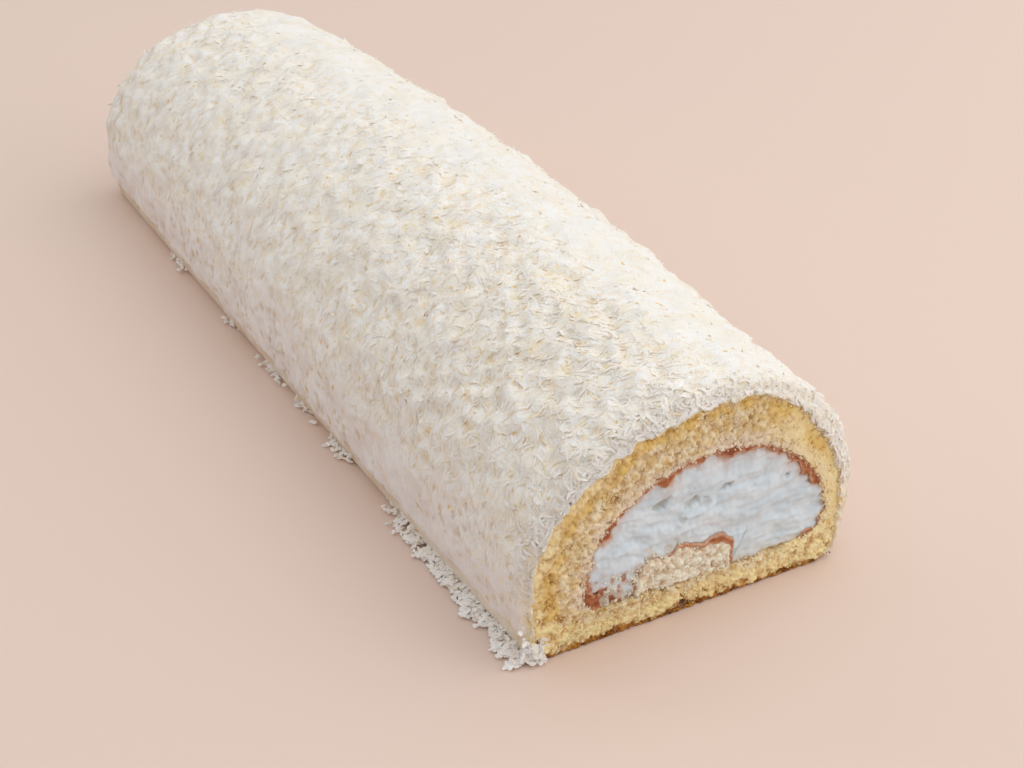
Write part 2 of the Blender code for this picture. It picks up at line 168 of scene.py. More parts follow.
def pits(points, size, share, seed):  # scattered round hollows: 1 at the bottom of each, 0 between them
    deepest = np.zeros(points.shape[:-1])
    for cell, distance in spotsNear(points, size, seed):
        radius = 0.28 + 0.5 * latticeHash(cell, seed + 7)
        inPit = np.clip(1 - distance / radius, 0, 1)
        deepest = np.maximum(deepest, inPit * (latticeHash(cell, seed + 8) < share))
    return deepest


def weld(mesh):
    # rows that end in one line leave faces without width, which are closed up
    shape = bmesh.new()
    shape.from_mesh(mesh)
    bmesh.ops.remove_doubles(shape, verts=shape.verts, dist=0.002 * mm)
    bmesh.ops.dissolve_degenerate(shape, edges=shape.edges, dist=0.002 * mm)
    shape.to_mesh(mesh)
    shape.free()


def makePiece(name, verts, faces, material, masks=None, replaces=(), normals=None):
    # faces is a list of index arrays, each with its own number of corners
    mesh = bpy.data.meshes.new(name)
    verts = np.asarray(verts, float).reshape(-1, 3)
    mesh.vertices.add(len(verts))
    mesh.vertices.foreach_set("co", (verts * mm).ravel())
    corners = np.concatenate([np.asarray(f).ravel() for f in faces])
    sizes = np.concatenate([np.full(len(f), np.asarray(f).shape[1]) for f in faces])
    mesh.loops.add(len(corners))
    mesh.loops.foreach_set("vertex_index", corners.astype(np.int32))
    mesh.polygons.add(len(sizes))
    mesh.polygons.foreach_set("loop_start", np.concatenate([[0], np.cumsum(sizes)[:-1]]).astype(np.int32))
    mesh.polygons.foreach_set("use_smooth", np.ones(len(sizes), bool))
    mesh.update(calc_edges=True)
    mesh.validate()
    for mask, values in (masks or {}).items():
        attribute = mesh.attributes.new(mask, "FLOAT", "POINT")
        attribute.data.foreach_set("value", values.ravel().astype(np.float32))
    if normals is None:
        weld(mesh)
    else:
        mesh.normals_split_custom_set(normals.tolist())
    mesh.materials.append(material)
    piece = bpy.data.objects.new(name, mesh)
    bpy.context.scene.collection.objects.link(piece)
    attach(piece, "root")
    if replaces:
        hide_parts(*replaces)
    print(f"  {name}: {int((sizes - 2).sum())} triangles")


def gridFaces(rows, columns, closed=False):
    # quads of a grid of vertices, whose columns join round when closed
    r, c = np.meshgrid(np.arange(rows - 1), np.arange(columns if closed else columns - 1), indexing="ij")
    nextC = (c + 1) % columns
    here, below = r * columns, (r + 1) * columns
    return np.stack([here + c, here + nextC, below + nextC, below + c], -1).reshape(-1, 4)


# Each outline is a dome over a tucked-in foot. Along it, 0 is the left foot, 1 the widest point on the left,
# 2 the crest, 3 the widest point on the right and 4 the right foot; 4 to 5 runs back along the base.
crestX = spongeLow[0] + 57.2
spongeShape = dict(left=spongeLow[0], right=spongeHigh[0], crestX=crestX, crestZ=spongeHigh[2],
                   bellyLeft=20.0, bellyRight=17.5, footLeft=spongeLow[0] + 4.2,
                   footRight=spongeHigh[0] - 9.2, floor=0.0, fullness=2.02)
icingShape = dict(left=spongeLow[0] - 3.8, right=spongeHigh[0] + 2.2, crestX=crestX,
                  crestZ=spongeHigh[2] + 6.0, bellyLeft=21.0, bellyRight=18.5,
                  footLeft=spongeLow[0] + 0.5, footRight=spongeHigh[0] - 4.8,
                  floor=icingFloor, fullness=2.05)
hollowShape = dict(left=liningLow[0] - gap, right=liningHigh[0] + gap, crestX=crestX - 2.5,
                   crestZ=liningHigh[2] + gap, bellyLeft=17.0, bellyRight=19.0, footLeft=liningLow[0] + 5.7,
                   footRight=liningHigh[0] - 7.7, floor=liningLow[2] - gap, fullness=1.95)
foldShape = dict(left=foldLow[0], right=foldHigh[0], crestX=foldLow[0] + 11.0, crestZ=foldHigh[2],
                 bellyLeft=13.0, bellyRight=13.5, footLeft=foldLow[0] + 2.0, footRight=foldHigh[0] - 1.2,
                 floor=foldLow[2], fullness=2.3)


def outlineAt(shape, along):
    along = np.asarray(along, float)
    fromFoot = np.where(along < 2, along, 4 - along)
    onLeft = along < 2
    turn = np.where(fromFoot < 1, fromFoot, fromFoot - 1) * math.pi / 2
    foot = np.where(onLeft, shape["footLeft"], shape["footRight"])
    widest = np.where(onLeft, shape["left"], shape["right"])
    belly = np.where(onLeft, shape["bellyLeft"], shape["bellyRight"])
    power = 2 / shape["fullness"]
    cosine, sine = np.clip(np.cos(turn), 0, 1), np.clip(np.sin(turn), 0, 1)
    x = np.where(fromFoot < 1, foot + (widest - foot) * sine,
                 shape["crestX"] + (widest - shape["crestX"]) * cosine ** power)
    z = np.where(fromFoot < 1, belly - (belly - shape["floor"]) * cosine,
                 belly + (shape["crestZ"] - belly) * sine ** power)
    base = np.clip(along - 4, 0, 1)
    x = np.where(along > 4, shape["footRight"] + (shape["footLeft"] - shape["footRight"]) * base, x)
    return x, np.where(along > 4, shape["floor"], z)


def evenStations(shape, count, end=5.0, weight=None):
    # places along the outline that are evenly far apart, or closer where the weight is larger
    fine = np.linspace(0, end, 6001)
    x, z = outlineAt(shape, fine)
    steps = np.hypot(np.diff(x), np.diff(z))
    if weight is not None:
        steps = steps * weight((fine[1:] + fine[:-1]) / 2)
    run = np.concatenate([[0], np.cumsum(steps)])
    closed = end == 5.0
    return np.interp(np.linspace(0, run[-1], count, endpoint=not closed), run, fine)


def outward(x, z):  # unit normals of a closed clockwise outline
    dx, dz = np.roll(x, -1) - np.roll(x, 1), np.roll(z, -1) - np.roll(z, 1)
    length = np.maximum(np.hypot(dx, dz), 1e-6)
    return -dz / length, dx / length


# unevenness is always given as pairs of size and height
waver = dict(uneven=((7.0, 0.55), (2.6, 0.25)), flatBelow=4.0)


def slump(x, z):
    # the hand-rolled sheet is nowhere quite even, so every edge on the cut wavers alike
    place = np.stack([x, z], -1)
    dx, dz = unevenness(place, waver["uneven"], 3, 4), unevenness(place, waver["uneven"], 5, 6)
    calm = smoothStep(0, waver["flatBelow"], z)  # the underside lies flat
    return x + dx * smoothStep(0, waver["flatBelow"] / 2, z), z + dz * calm


icing = dict(
    # how much higher it is heaped halfway along, and how much of that goes left, right and to the crest
    swell=6.0, swellShares=(0.3, 0.8, 0.5),
    rowStep=0.88, sideStep=0.67, topStep=1.25, topFrom=0.25, endDepth=38, endMiddle=0.02,
    # size and height of the log's own unevenness, the matted coconut's lumps, and palm and finger marks
    heave=((13.0, 0.8), (6.0, 0.48)), heaveFrom=(3, 15), heaveAlong=8,
    clumps=(3.5, 0.7), tufts=(1.9, 0.34), palm=(15.0, 0.6), streaks=(1.4, 0.42), streakLength=2.6,
    mattedness=(0.28, 1.35, 0.8),  # on the top, the woolly shoulder and the ruffled right side
    ruffledFrom=(24, 40), ruffledAbove=(28, 40),
    patches=((24.0, 7), (9.0, 4)), lessPatted=((15, 38), 14), looseAbove=(22, 46), looserBehind=3.0,
    dents=(1.3, 1.0, 0.45), dentStretch=0.55, dentPatches=(13.0, 4.0), fewerDents=(40, 130),
    creaseBack=19.0, creaseWander=((9.0, 2.0),), creaseDepth=1.5, creaseWidth=0.8, creaseBelow=(44, 36),
    # how strongly the crease is painted tan as shade
    creaseShade=0.4,
    bareBelow=(9.2, 7.8), bareEdge=((12.0, 1.4), (4.0, 0.9), (1.4, 0.5)), lip=0.5,  # pressed thin at the foot
    rounding=2.4, roundingReach=2.2, calmAtCut=0.35,  # the edge at the cut
    rimRows=6, rimBulge=0.8, rimRough=((1.9, 0.6),), rimTuck=0.75, rimFade=(0.8, 0.45, 0.15),
    room=0.1, footRoom=1.6, smeared=0.45,  # room round the sponge, and how far its cut edge is smeared
)


def lumps(x, y, z, size):
    return 1.6 * noise.noise(Vector((x, y, z)) / size)


def swollen(shape, by):
    toLeft, toRight, toCrest = icing["swellShares"]
    return dict(shape, left=shape["left"] - toLeft * by, right=shape["right"] + toRight * by,
                crestX=shape["crestX"] + toCrest * by, crestZ=shape["crestZ"] + by)


def grown(shape, by):
    return dict(shape, left=shape["left"] - by, right=shape["right"] + by, crestZ=shape["crestZ"] + by,
                footLeft=shape["footLeft"] - by, footRight=shape["footRight"] + by)


def gridNormals(points):
    alongRows = np.gradient(points, axis=0)
    alongColumns = np.gradient(points, axis=1)
    return unit(np.cross(alongColumns, alongRows))


def icingSurface():
    # rows from the cut to the far end and in to its middle, columns from the left foot to the right foot
    def sides(along):
        return np.where(np.abs(along - 2) > 1 - icing["topFrom"], 1 / icing["sideStep"], 1 / icing["topStep"])

    fine = np.linspace(0, 4, 4001)
    x, z = outlineAt(icingShape, fine)
    columns = int((np.hypot(np.diff(x), np.diff(z)) * sides((fine[1:] + fine[:-1]) / 2)).sum())
    stations = evenStations(icingShape, columns, end=4.0, weight=sides)
    straight = np.arange(0, logLength - farRounding, icing["rowStep"])
    turns = np.linspace(0, math.pi / 2, int(farRounding * 1.57 / icing["rowStep"]))
    along = np.concatenate([straight, logLength - farRounding * (1 - np.sin(turns))])[:, None]
    drawIn = np.concatenate([straight * 0, farRounding * (1 - np.cos(turns))])[:, None]
    swell = icing["swell"] * np.sin(math.pi * along / logLength)
    x, z = outlineAt(grown(swollen(icingShape, swell), -drawIn), stations[None, :])
    y = np.broadcast_to(along, x.shape)
    shares = np.linspace(1, icing["endMiddle"], int(icing["endDepth"] / icing["rowStep"]))[1:, None]
    middle = (x[-1, 0] + x[-1, -1]) / 2
    capX = middle + (x[-1][None, :] - middle) * shares
    capZ = icingShape["floor"] + (z[-1][None, :] - icingShape["floor"]) * shares
    return np.concatenate([np.stack([x, y + cutY, z], -1),
                           np.stack([capX, np.full(capX.shape, cutY + logLength), capZ], -1)]), stations


woolly = dict(  # where the coconut lies thick, measured from the crest, the floor, the cut and the far end
    left=(12, -14), above=(17, 32), sway=(15.0, 6), nearCut=(170, 40), farther=0.55,
    rightSide=(26, 38), farEnd=(8, 2), elsewhere=0.45, least=0.03,
)


def shoulderShare(points):
    # the coconut lies thickest and woolliest along the left shoulder, most of all near the cut
    x, along, z = points[..., 0] - crestX, points[..., 1] - cutY, points[..., 2]
    size, much = woolly["sway"]
    upper = smoothStep(*woolly["above"], z + much * smoothNoise(points, size, 46))
    near = fromLeast(woolly["farther"], smoothStep(*woolly["nearCut"], along))
    shoulder = fromLeast(woolly["least"], smoothStep(*woolly["left"], x) * upper * near)
    # the other side and the far end are rougher than the top too
    around = np.maximum(smoothStep(*woolly["rightSide"], x), smoothStep(*woolly["farEnd"], logLength - along))
    return np.maximum(shoulder, woolly["elsewhere"] * around * upper)


def icingRelief(points):
    # how far the coat stands out, and how loosely the coconut lies there: 0 pressed smooth, 1 matted
    flat = points.reshape(-1, 3)
    x, along, z = flat[:, 0] - crestX, flat[:, 1] - cutY, flat[:, 2]
    (broad, high), (narrow, low) = icing["heave"]
    log = np.stack([flat[:, 0], along, z], -1).tolist()
    heave = np.array([high * lumps(a, b, c, broad) + low * lumps(a, b + 300, c, narrow) for a, b, c in log])
    fromZ, toZ = icing["heaveFrom"]
    heave *= np.clip((z - fromZ) / (toZ - fromZ), 0, 1) * np.clip(along / icing["heaveAlong"], 0, 1)

    reach, much = icing["lessPatted"]  # on the right
    patch = unevenness(flat, icing["patches"], 11, 12) + much * smoothStep(*reach, x)
    behind = icing["looserBehind"] * np.clip(along / 100 - 1, 0, 2)
    loose = smoothStep(*icing["looseAbove"], z + patch + behind)

    shaggy = shoulderShare(flat)
    ruffled = smoothStep(*icing["ruffledFrom"], x) * smoothStep(*icing["ruffledAbove"], z)
    size, height = icing["clumps"]
    matted = height * smoothNoise(flat, size, 21)
    size, height = icing["tufts"]
    small = smoothNoise(flat, size, 22)
    onTop, onShoulder, onRight = icing["mattedness"]
    matted = (matted + height * small) * (onTop + onShoulder * shaggy + onRight * ruffled)
    # the hollows between tufts, where fewer woolly shreds lie and the icing is painted butter yellow as warm
    # shade
    valley = smoothStep(-0.25, -0.75, small) * loose * fromLeast(0.3, shaggy)

    size, height = icing["palm"]
    pressed = height * smoothNoise(flat, size, 23)
    size, height = icing["streaks"]
    down = np.array([1.0, 1.0, 1 / icing["streakLength"]])  # palm strokes run down the side
    pressed += height * (smoothNoise(flat * down, size, 26) + 0.6 * smoothNoise(flat * down, size * 0.55, 27))
    size, height, share = icing["dents"]
    pit = pits(flat * np.array([1.0, 1.0, icing["dentStretch"]]), size, share, 24) ** 0.7
    broad, narrow = icing["dentPatches"]
    inPatch = smoothNoise(flat, broad, 49) + 0.6 * smoothNoise(flat, narrow, 50)
    pit *= smoothStep(-0.2, 0.5, inPatch + 0.4 * smoothStep(*icing["fewerDents"], along))
    pit = pit * (1 - 0.9 * smoothStep(0.45, 1.0, loose))  # the matted top hides them
    pressed -= height * pit

    crease = logLength - icing["creaseBack"] + unevenness(flat[:, 2:], icing["creaseWander"], 25)
    inCrease = bell(along, crease, icing["creaseWidth"]) * smoothStep(*icing["creaseBelow"], z)
    inCrease *= smoothStep(4, 9, z) * (x < 0)
    # the band at the foot, pressed thin, and painted beige as shade and reflection where the coat tucks under
    bare = smoothStep(*icing["bareBelow"], z + unevenness(flat, icing["bareEdge"], 40, 28, 29)) * (along > 1)
    # the foot stays where it is, and the edge at the cut nearly so
    still = smoothStep(0.3, 7.0, z) * fromLeast(icing["calmAtCut"], smoothStep(-0.5, 5.0, along))
    relief = heave + still * (loose * matted + (1 - loose) * pressed) - icing["creaseDepth"] * inCrease
    relief -= icing["lip"] * bare * smoothStep(1, 3, z)
    relief -= icing["rounding"] * np.clip(1 - along / icing["roundingReach"], 0, 1) ** 2
    # pits and crease are painted tan as shade
    marks = np.maximum(pit, icing["creaseShade"] * inCrease)
    return [values.reshape(points.shape[:2]) for values in (relief, loose * (1 - bare), marks, bare, valley)]


dragged = dict(  # how far the knife dragged crumb out over the icing, at places along the outline
    at=(0, 0.6, 1.1, 1.6, 2.2, 2.4, 2.52, 3.0, 3.3, 3.6, 4.0, 4.1, 5.0),
    by=(-0.6, -0.5, 0.6, 2.0, 1.8, -0.6, -2.4, -2.4, -1.4, -0.2, 0.1, 0, 0),
    uneven=(3.2, 0.5), tatters=((1.7, 0.75), (0.8, 0.45)), aboveFoot=(0.5, 3),
)


def frayedCut(along, x, z):
    place = np.stack([x, z], -1)
    size, much = dragged["uneven"]
    smear = np.interp(along, dragged["at"], dragged["by"]) * (1 + much * smoothNoise(place, size, 32))
    ragged = unevenness(place, dragged["tatters"], 33, 30) * (along < 4)
    outX, outZ = outward(x, z)
    return x + outX * (smear + ragged), z + outZ * (smear + ragged) * smoothStep(*dragged["aboveFoot"], z)


def makeIcing(material):
    points, stations = icingSurface()
    relief, loose, pit, bare, valley = icingRelief(points)
    points = points + gridNormals(points) * relief[..., None]
    points[..., 2] = np.maximum(points[..., 2], icingShape["floor"])
    rows, columns = points.shape[:2]
    # inside: close round the sponge, and frayed like it at the cut
    room = dict(grown(spongeShape, icing["room"]), floor=icingShape["floor"],
                footLeft=spongeShape["footLeft"] - icing["footRoom"],
                footRight=spongeShape["footRight"] + icing["footRoom"])
    behindX, behindZ = slump(*outlineAt(room, stations))
    innerX, innerZ = frayedCut(stations, *slump(*outlineAt(grown(room, -icing["smeared"]), stations)))
    rim = []
    for share in np.linspace(0, 1, icing["rimRows"] + 1)[1:]:
        x = points[0, :, 0] + (innerX - points[0, :, 0]) * share
        z = points[0, :, 2] + (innerZ - points[0, :, 2]) * share
        bulge = icing["rimBulge"] * math.sin(math.pi * share)
        bulge = bulge + unevenness(np.stack([x, z], -1), icing["rimRough"], 31)
        rim.append(np.stack([x, cutY - bulge + icing["rimTuck"] * share ** 6, z], -1))
    inside = [np.stack([behindX, np.full(columns, y), behindZ], -1)
              for y in (cutY + 5, cutY + 60, backY - 8, backY + 0.2)]
    shell = np.concatenate([np.array(inside[::-1] + rim[::-1]), points])
    extra = len(inside) + len(rim)
    masks = {name: np.concatenate([np.zeros((extra, columns)), values])
             for name, values in (("loose", loose), ("pit", pit), ("bare", bare), ("valley", valley))}
    masks["rim"] = np.concatenate([np.ones((extra, columns)), np.zeros((rows, columns))])
    masks["rim"][extra:extra + 3] = np.array(icing["rimFade"])[:, None]
    total = rows + extra
    # the soles under both feet, and the middle of the far end inside and out
    index = np.arange(total * columns).reshape(total, columns)
    faces = [gridFaces(total, columns), index[0][None, ::-1], index[-1][None, :],
             index[:, 0][None, ::-1], index[:, -1][None, :]]
    makePiece("whippedIcing", shell, faces, material, masks, replaces=["coconut_icing"])
    # the shreds lie on the outside and on round over the edge of the cut
    onto = [np.pad(values, ((icing["rimRows"], 0), (0, 0)), mode="edge") for values in (loose, valley, pit)]
    return shell[len(inside):], *onto


# looseness says how many lie where the coat is pressed and where it is loose, matting how far their shading
# turns towards the icing below, as light passes through and between them
usualShreds = dict(segments=2, looseness=(0.1, 1.0), onShoulder=0.0, offValleys=0.0, fromCut=None,
                   tumble=(0.3, 0.5), matting=0.65)
shredKinds = {
    "longShreds": dict(usualShreds, count=5400, length=(3.2, 6.8), width=(0.6, 1.05), thickness=0.24,
                       height=(-0.2, 0.03), lift=1.6, flatness=9, curl=1.2, seed=101),
    "shortShreds": dict(usualShreds, count=6400, length=(1.6, 3.6), width=(0.65, 1.1), thickness=0.25,
                        height=(-0.2, 0.1), lift=1.6, flatness=7, curl=1.3, seed=102),
    "pressedShreds": dict(usualShreds, count=5300, length=(1.2, 4.2), width=(0.6, 1.1), thickness=0.4,
                          height=(-0.24, 0.0), lift=0.3, flatness=4, curl=0.8, looseness=(1.0, 0.1),
                          matting=0.5, seed=103),
    "woollyShreds": dict(usualShreds, count=7000, length=(2.4, 6.4), width=(0.55, 0.95), thickness=0.44,
                         height=(-0.25, 0.2), lift=0.9, flatness=4, curl=1.6, segments=3,
                         looseness=(0.0, 1.0), matting=0.5, onShoulder=1.0, offValleys=0.9, seed=106),
    "rimShreds": dict(usualShreds, count=1400, length=(1.8, 4.6), width=(0.65, 1.15), thickness=0.7,
                      height=(-0.15, 0.5), lift=1.2, flatness=2.5, curl=1.8, segments=3,
                      looseness=(0.12, 1.0), matting=0.5, fromCut=2.0, seed=109),
    "coconutTufts": dict(usualShreds, count=460, length=(1.5, 3.0), width=(1.2, 2.0), thickness=0.7,
                         height=(-0.1, 0.3), lift=1.2, flatness=2.5, curl=2.0, segments=3,
                         looseness=(0.05, 1.0), matting=0.6, seed=107),
    "coconutFines": dict(usualShreds, count=5800, length=(0.8, 1.9), width=(0.7, 1.2), thickness=0.4,
                         height=(-0.25, 0.05), lift=1.1, flatness=5, curl=0.5, segments=1,
                         looseness=(0.35, 1.0), seed=104),
}
laid = dict(  # how all of them lie
    field=22.0, swing=0.8, spread=0.75,  # the hand's strokes go round the log
    fromFloor=(0.5, 6.0), offPits=0.8, closest=0.12, leastStep=0.2,
    pressedHeight=0.3, pressedLift=0.1, topLift=0.5, pivot=(-0.1, 1.1), lowest=1.0,
    sink=0.2, calm=0.7, matting=0.3,  # patted down on the top
    # fibre low in the coat, and more of it in the valleys, is coloured creamy as painted warm shade
    rise=(-0.3, 1.6), valleyShade=0.15,  # height that counts as deep in the coat, and from there to its tips
    rimLight=(0.4, 0.6), rimLightFrom=3,  # over the rim the frayed fibre catches light as on the outside
)
stripForm = dict(  # shares of a shred's width and thickness, where it is broadest, and how round it is shaded
    width=0.58, thickness=0.6, broadest=0.45, taper=2.4, sides=0.7, back=0.9,
)


class Coat:  # the icing's surface, read at any row and column
    def __init__(self, points, loose, valley, pit):
        self.points, self.loose, self.valley, self.pit = points, loose, valley, pit
        self.normals = gridNormals(points)
        own, outside = laid["rimLight"]
        rows = icing["rimRows"]
        rim = self.normals[:rows] * own + self.normals[rows + laid["rimLightFrom"]] * outside
        self.normals[:rows] = unit(rim)
        self.rowStep = np.linalg.norm(np.gradient(points, axis=0), axis=-1)
        self.columnStep = np.linalg.norm(np.gradient(points, axis=1), axis=-1)
        self.area = self.rowStep * self.columnStep
        self.shoulder = shoulderShare(points)

    def read(self, grid, row, column):
        row = np.clip(row, 0, grid.shape[0] - 1.001)
        column = np.clip(column, 0, grid.shape[1] - 1.001)
        r, c = row.astype(int), column.astype(int)
        u, v = row - r, column - c
        if grid.ndim == 3:
            u, v = u[..., None], v[..., None]
        top = grid[r, c] * (1 - v) + grid[r, c + 1] * v
        bottom = grid[r + 1, c] * (1 - v) + grid[r + 1, c + 1] * v
        return top * (1 - u) + bottom * u

    def scatter(self, count, weight, rng):
        share = np.cumsum((self.area * weight).ravel())
        picks = np.searchsorted(share, (np.arange(count) + rng.random(count)) / count * share[-1])
        row, column = np.unravel_index(picks, self.area.shape)
        return row + rng.random(count) - 0.5, column + rng.random(count) - 0.5


def strips(spine, up, width, thickness, roll, twist, matting):
    # a three-sided strip along each spine, narrower at its tips; spine is (count, stations, 3)
    count, stations = spine.shape[:2]
    tangent = unit(np.gradient(spine, axis=1))
    across = unit(np.cross(tangent, up))
    above = np.cross(across, tangent)
    part = np.linspace(0, 1, stations)
    angle = (roll[:, None] + twist[:, None] * part)[..., None]
    flatWay = across * np.cos(angle) + above * np.sin(angle)
    thickWay = above * np.cos(angle) - across * np.sin(angle)
    taper = (1 - stripForm["taper"] * (part - stripForm["broadest"]) ** 2)[None, :, None]
    halfWidth = stripForm["width"] * width[:, None, None] * taper
    halfThickness = stripForm["thickness"] * thickness * taper
    rings, facing = [], []
    for k in range(3):
        turn = math.tau * k / 3 + math.pi / 2
        sideways, upwards = math.cos(turn), math.sin(turn)
        rings.append(spine + flatWay * (sideways * halfWidth) + thickWay * (upwards * halfThickness))
        # shaded as a gently rounded back
        facing.append(flatWay * sideways * stripForm["sides"] + thickWay * (upwards + stripForm["back"]))
    verts = np.stack(rings, 2)  # (count, stations, 3 corners, 3)
    index = np.arange(count * stations * 3).reshape(count, stations, 3)
    after = np.roll(index, -1, axis=2)
    quads = np.stack([index[:, :-1], index[:, 1:], after[:, 1:], after[:, :-1]], -1).reshape(-1, 4)
    caps = np.concatenate([index[:, 0], index[:, -1, ::-1]])
    matting = np.broadcast_to(matting, (count,))[:, None, None, None]
    facing = unit(unit(np.stack(facing, 2)) * (1 - matting) + up[:, :, None] * matting).reshape(-1, 3)
    below = np.zeros((count, stations - 1, 3), bool)
    below[:, :, 1] = True  # the flat underside faces down
    under = -np.repeat(thickWay, 3, axis=1).reshape(-1, 3)
    quadNormals = np.where(below.reshape(-1)[:, None, None], under[quads], facing[quads])
    soft = matting[:, 0, 0]
    ends = unit(np.concatenate([-tangent[:, 0] * (1 - soft) + up[:, 0] * soft,
                                tangent[:, -1] * (1 - soft) + up[:, -1] * soft]))
    ends = ends[:, None, :].repeat(3, 1)
    return verts, np.concatenate([quadNormals.reshape(-1, 3), ends.reshape(-1, 3)]), [quads, caps]


def makeStrips(name, kind, spine, up, rise, matting, tumble, rng, material):
    count = len(spine)
    width = rng.uniform(*kind["width"], count)
    roll, twist = [rng.normal(0, much, count) * tumble for much in kind["tumble"]]
    verts, facing, faces = strips(spine, up, width, kind["thickness"], roll, twist, matting)
    masks = {"rise": np.repeat(rise[..., None], 3, -1),
             "tint": np.broadcast_to(rng.random(count)[:, None, None], verts.shape[:3])}
    makePiece(name, verts, faces, material, masks, normals=facing)


def makeShreds(name, kind, coat, material):
    rng = np.random.default_rng(kind["seed"])
    count, stations = kind["count"], kind["segments"] + 1
    onPressed, onLoose = kind["looseness"]
    weight = (onPressed + (onLoose - onPressed) * coat.loose) * (coat.columnStep > laid["closest"])
    weight = weight * smoothStep(*laid["fromFloor"], coat.points[..., 2])
    weight = weight * fromLeast(1 - kind["onShoulder"], coat.shoulder)
    weight = weight * (1 - kind["offValleys"] * coat.valley) * (1 - laid["offPits"] * coat.pit)
    if kind["fromCut"]:
        weight = weight * np.exp(-np.maximum(coat.points[..., 1] - cutY, 0) / kind["fromCut"])
        weight[:2] = 0  # they don't reach onto the sponge
    else:
        weight[:icing["rimRows"]] = 0
    row, column = coat.scatter(count, weight, rng)
    place = coat.read(coat.points, row, column)
    heading = math.pi / 2 + laid["swing"] * smoothNoise(place, laid["field"], 41)
    heading = heading + rng.normal(0, laid["spread"], count) + math.pi * (rng.random(count) < 0.5)
    length = rng.uniform(*kind["length"], count)
    curl = rng.normal(0, kind["curl"] / 2, count)
    loose, shaggy = coat.read(coat.loose, row, column), coat.read(coat.shoulder, row, column)
    base = rng.uniform(*kind["height"], count) * fromLeast(laid["pressedHeight"], loose)
    base = base - laid["sink"] * (1 - shaggy)
    lift = kind["lift"] * rng.random(count) ** kind["flatness"]
    lift = lift * fromLeast(laid["pressedLift"], loose) * fromLeast(laid["topLift"], shaggy)
    pivot = rng.uniform(*laid["pivot"], count)
    rowStep = np.maximum(coat.read(coat.rowStep, row, column), laid["leastStep"])
    columnStep = np.maximum(coat.read(coat.columnStep, row, column), laid["leastStep"])
    spine, up, rise = [], [], []
    for part in np.linspace(0, 1, stations):
        turn = heading + curl * (part - 0.5)
        reach = length * (part - 0.5)
        r, c = row + reach * np.cos(turn) / rowStep, column + reach * np.sin(turn) / columnStep
        height = base + lift * ((part - pivot) ** 2) / 0.6
        normal = coat.read(coat.normals, r, c)
        spine.append(coat.read(coat.points, r, c) + normal * height[:, None])
        up.append(normal)
        rise.append(height)
    spine, up, rise = np.stack(spine, 1), np.stack(up, 1), np.stack(rise, 1)
    rise = rise - laid["valleyShade"] * coat.read(coat.valley, row, column)[:, None]
    deepest, span = laid["rise"]
    spine[..., 2] = np.maximum(spine[..., 2], laid["lowest"])
    patted = loose * (1 - shaggy)
    makeStrips(name, kind, spine, up, np.clip((rise - deepest) / span, 0, 1),
               kind["matting"] + laid["matting"] * patted, 1 - laid["calm"] * patted, rng, material)


footHeaps = dict(  # coconut that slid down and lies in clumps at the left foot: how far along, out, how many
    places=(6, 17, 29, 41, 53, 66, 79, 118, 146, 171, 214, 262),
    reach=(5.5, 4.0, 5.5, 5.0, 4.5, 5.5, 2.5, 3.0, 2.2, 2.6, 2.2, 2.5),
    shreds=(150, 120, 170, 150, 140, 130, 30, 46, 24, 36, 22, 30),
    spread=4.4, nearer=1.2, clump=2.6, pull=1.5, height=3.4, slope=(8, 0.15), uneven=(3.4, 0.75, 0.45),
    # caught on the lower corner of the cut: how many, how far, leaning out how much, and facing where
    corner=150, cornerReach=(1.3, 0.7, 3.4), cornerSlope=0.22, cornerFacing=(-0.3, -0.8, 0.5),
    length=(1.0, 3.4), width=(1.0, 1.8), thickness=0.9, curl=2.4, pitch=0.35, tumble=(0.5, 0.7),
    lowest=0.95, furthest=2.5, rise=0.9, matting=0.4, seed=105,
)


